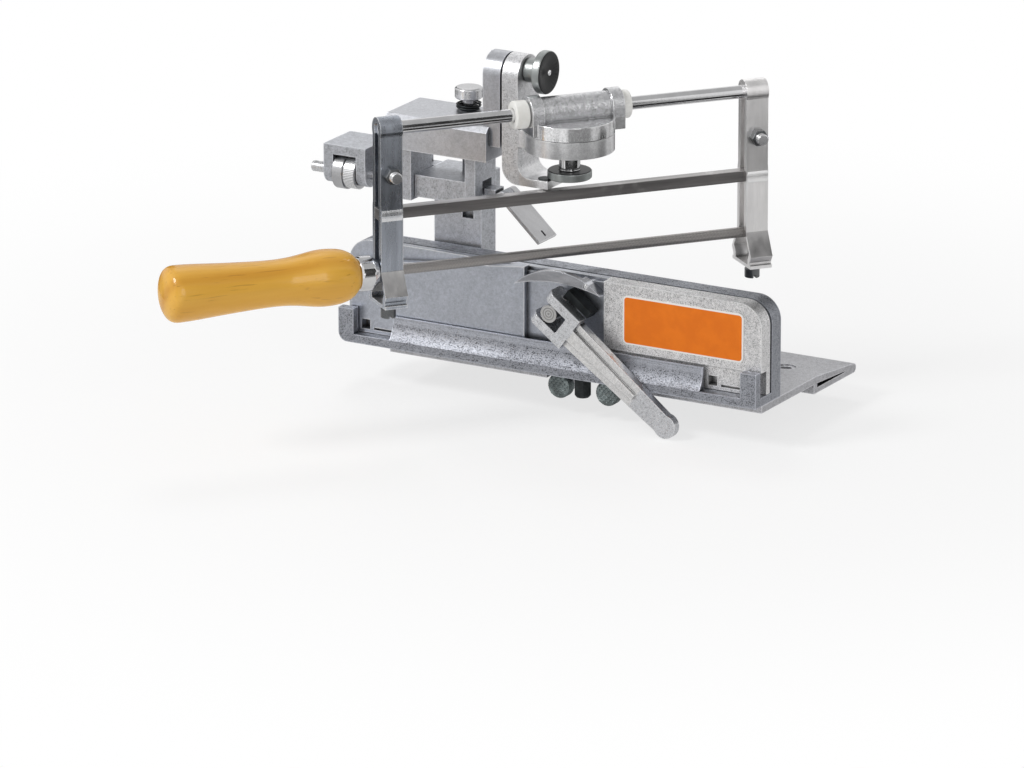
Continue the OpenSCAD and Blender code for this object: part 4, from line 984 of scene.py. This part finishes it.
# %% World and lamps
WORLD_LIGHT, EXTRA_SEEN, EXTRA_MIRRORED = 0.4, 0.6, 0.5
scene = bpy.context.scene
scene.view_settings.view_transform = "Standard"
scene.world = bpy.data.worlds.new("studio")
scene.world.use_nodes = True
sky = scene.world.node_tree
rays = add_node(sky, "ShaderNodeLightPath", {}, {}).outputs
seen, mirrored = (Signal(sky, rays[kind]) for kind in ("Is Camera Ray", "Is Glossy Ray"))
background = sky.nodes["Background"].inputs
put(sky, background["Color"], (1, 1, 1))
put(sky, background["Strength"], seen * EXTRA_SEEN + mirrored * EXTRA_MIRRORED + WORLD_LIGHT)


def lamp(name, spot, target, size, watts):
    data = bpy.data.lights.new(name, "AREA")
    data.shape, data.size, data.energy = "DISK", size, watts
    placed = add_object(name, data)
    placed.location = spot
    placed.rotation_mode = "QUATERNION"
    placed.rotation_quaternion = (Vector(target) - Vector(spot)).to_track_quat("-Z", "Y")
    print(name, "lamp:", watts, "W")


lamp("key", (-0.7, -0.9, 1.1), (0, 0, 0.06), 0.5, 10)
lamp("fill", (0.9, -0.7, 0.5), (0, 0, 0.06), 0.6, 2)
lamp("rim", (-0.55, 0.7, 1.2), (0, 0, 0.08), 0.5, 4)

# %% [markdown]
# ## Cards for the reflections
# Polished metal shows what stands round it, and in an all-white room it would wash out. A photographer puts
# up cards, and so does this cell. Each card is a plain glowing grey that only reflections see: it neither
# shows to the camera nor lights or shades the object. The arcs stand low round the tool, at angles counted
# from the camera's side.

# %% Cards
ARC_R, ARC_LOW, ARC_HIGH, ARC_STEPS = 0.36, -0.01, 0.05, 12
STRIP_LOW, STRIP_HIGH, STRIP_GREY = -0.1, 0.9, 0.02


def card(name, corners, faces, grey):
    mesh = bpy.data.meshes.new(name)
    mesh.from_pydata(corners, [], faces)
    f = Finish(name)
    mesh.materials.append(f.set(Base_Color=(0, 0, 0), Specular_IOR_Level=0.0,
                                Emission_Color=(grey, grey, grey), Emission_Strength=1.0))
    placed = add_object(name, mesh)
    placed.visible_camera = placed.visible_diffuse = placed.visible_shadow = False


def flat_card(name, a, b, c, grey):
    a, b, c = Vector(a), Vector(b), Vector(c)
    card(name, [a, b, c, a + c - b], [(0, 1, 2, 3)], grey)


def strip(name, a, b):
    flat_card(name, (*a, STRIP_LOW), (*b, STRIP_LOW), (*b, STRIP_HIGH), STRIP_GREY)


def arc_card(name, start, stop, grey):
    corners = []
    for i in range(ARC_STEPS + 1):
        turn = math.radians(start + (stop - start) * i / ARC_STEPS)
        spot = (level_back * math.cos(turn) + right * math.sin(turn)) * ARC_R
        corners += [(spot.x, spot.y, ARC_LOW), (spot.x, spot.y, ARC_HIGH)]
    card(name, corners, [(2 * i, 2 * i + 2, 2 * i + 3, 2 * i + 1) for i in range(ARC_STEPS)], grey)


arc_card("white arc front", -76, -6, 0.95)
arc_card("grey arc front", -4, 54, 0.22)
arc_card("dark arc left", -180, -98, 0.03)
arc_card("dark arc right", 148, 180, 0.03)
flat_card("grey card above", (-0.9, -0.5, 0.95), (0.9, -0.5, 0.95), (0.9, 1.1, 0.95), 0.5)
below_rod = Vector((0, 0, ROD_Z - 0.045))
near, far = ACROSS * 0.026 + below_rod, ACROSS * 0.085 + below_rod
rod_start, rod_stop = ALONG * (FRONT_U - 0.02), ALONG * (REAR_U + 0.06)
flat_card("dark card under the rod", rod_start + near, rod_stop + near, rod_stop + far, 0.02)
strip("dark strip right", (0.80, -0.55), (0.92, -0.25))
strip("dark strip left", (-0.30, -1.05), (-0.12, -1.12))
strip("dark strip behind", (-0.9, 0.55), (-0.75, 0.8))
print("cards: four arcs, two flat, three strips")

# %% [markdown]
# ## Floor
# The floor is a pale surface that catches the shadow, mixed with a white glow, so that it fades into the
# white ground away from the tool. In metal it shows a little darker, and it doesn't light the object from
# below: the glow is left out for diffuse rays.

# %% Floor
FLOOR_HALF, FLOOR_GAP = 4, 0.0004
NEAR_GLOW, DARKER_IN_METAL = 0.7, 0.38
FADE_START, FADE_STOP = 0.15, 0.5
floor_z = cad_box[0].z - FLOOR_GAP
corners = [(x * FLOOR_HALF, y * FLOOR_HALF, floor_z) for x, y in ((-1, -1), (1, -1), (1, 1), (-1, 1))]
floor_mesh = bpy.data.meshes.new("floor")
floor_mesh.from_pydata(corners, [], [(0, 1, 2, 3)])
f = Finish("pale floor")
floor_mesh.materials.append(f.set(Base_Color=(0.93, 0.93, 0.93), Roughness=0.8))
x, y, z = f.axes()
away = (x * x + y * y).power(0.5).step(FADE_START, FADE_STOP)
rays = add_node(f.tree, "ShaderNodeLightPath", {}, {}).outputs
in_metal, on_paint = (Signal(f.tree, rays[kind]) for kind in ("Is Glossy Ray", "Is Diffuse Ray"))
glow = f.node("ShaderNodeEmission", {}, {"Strength": 1 - in_metal * DARKER_IN_METAL})
glow_share = (away * (1 - NEAR_GLOW) + NEAR_GLOW) * (1 - on_paint)
surface = f.node("ShaderNodeMixShader", {}, {0: glow_share, 1: f.shader.outputs[0], 2: glow})
put(f.tree, f.tree.nodes["Material Output"].inputs["Surface"], surface)
add_object("floor", floor_mesh)
print("floor at", round(floor_z, 4))
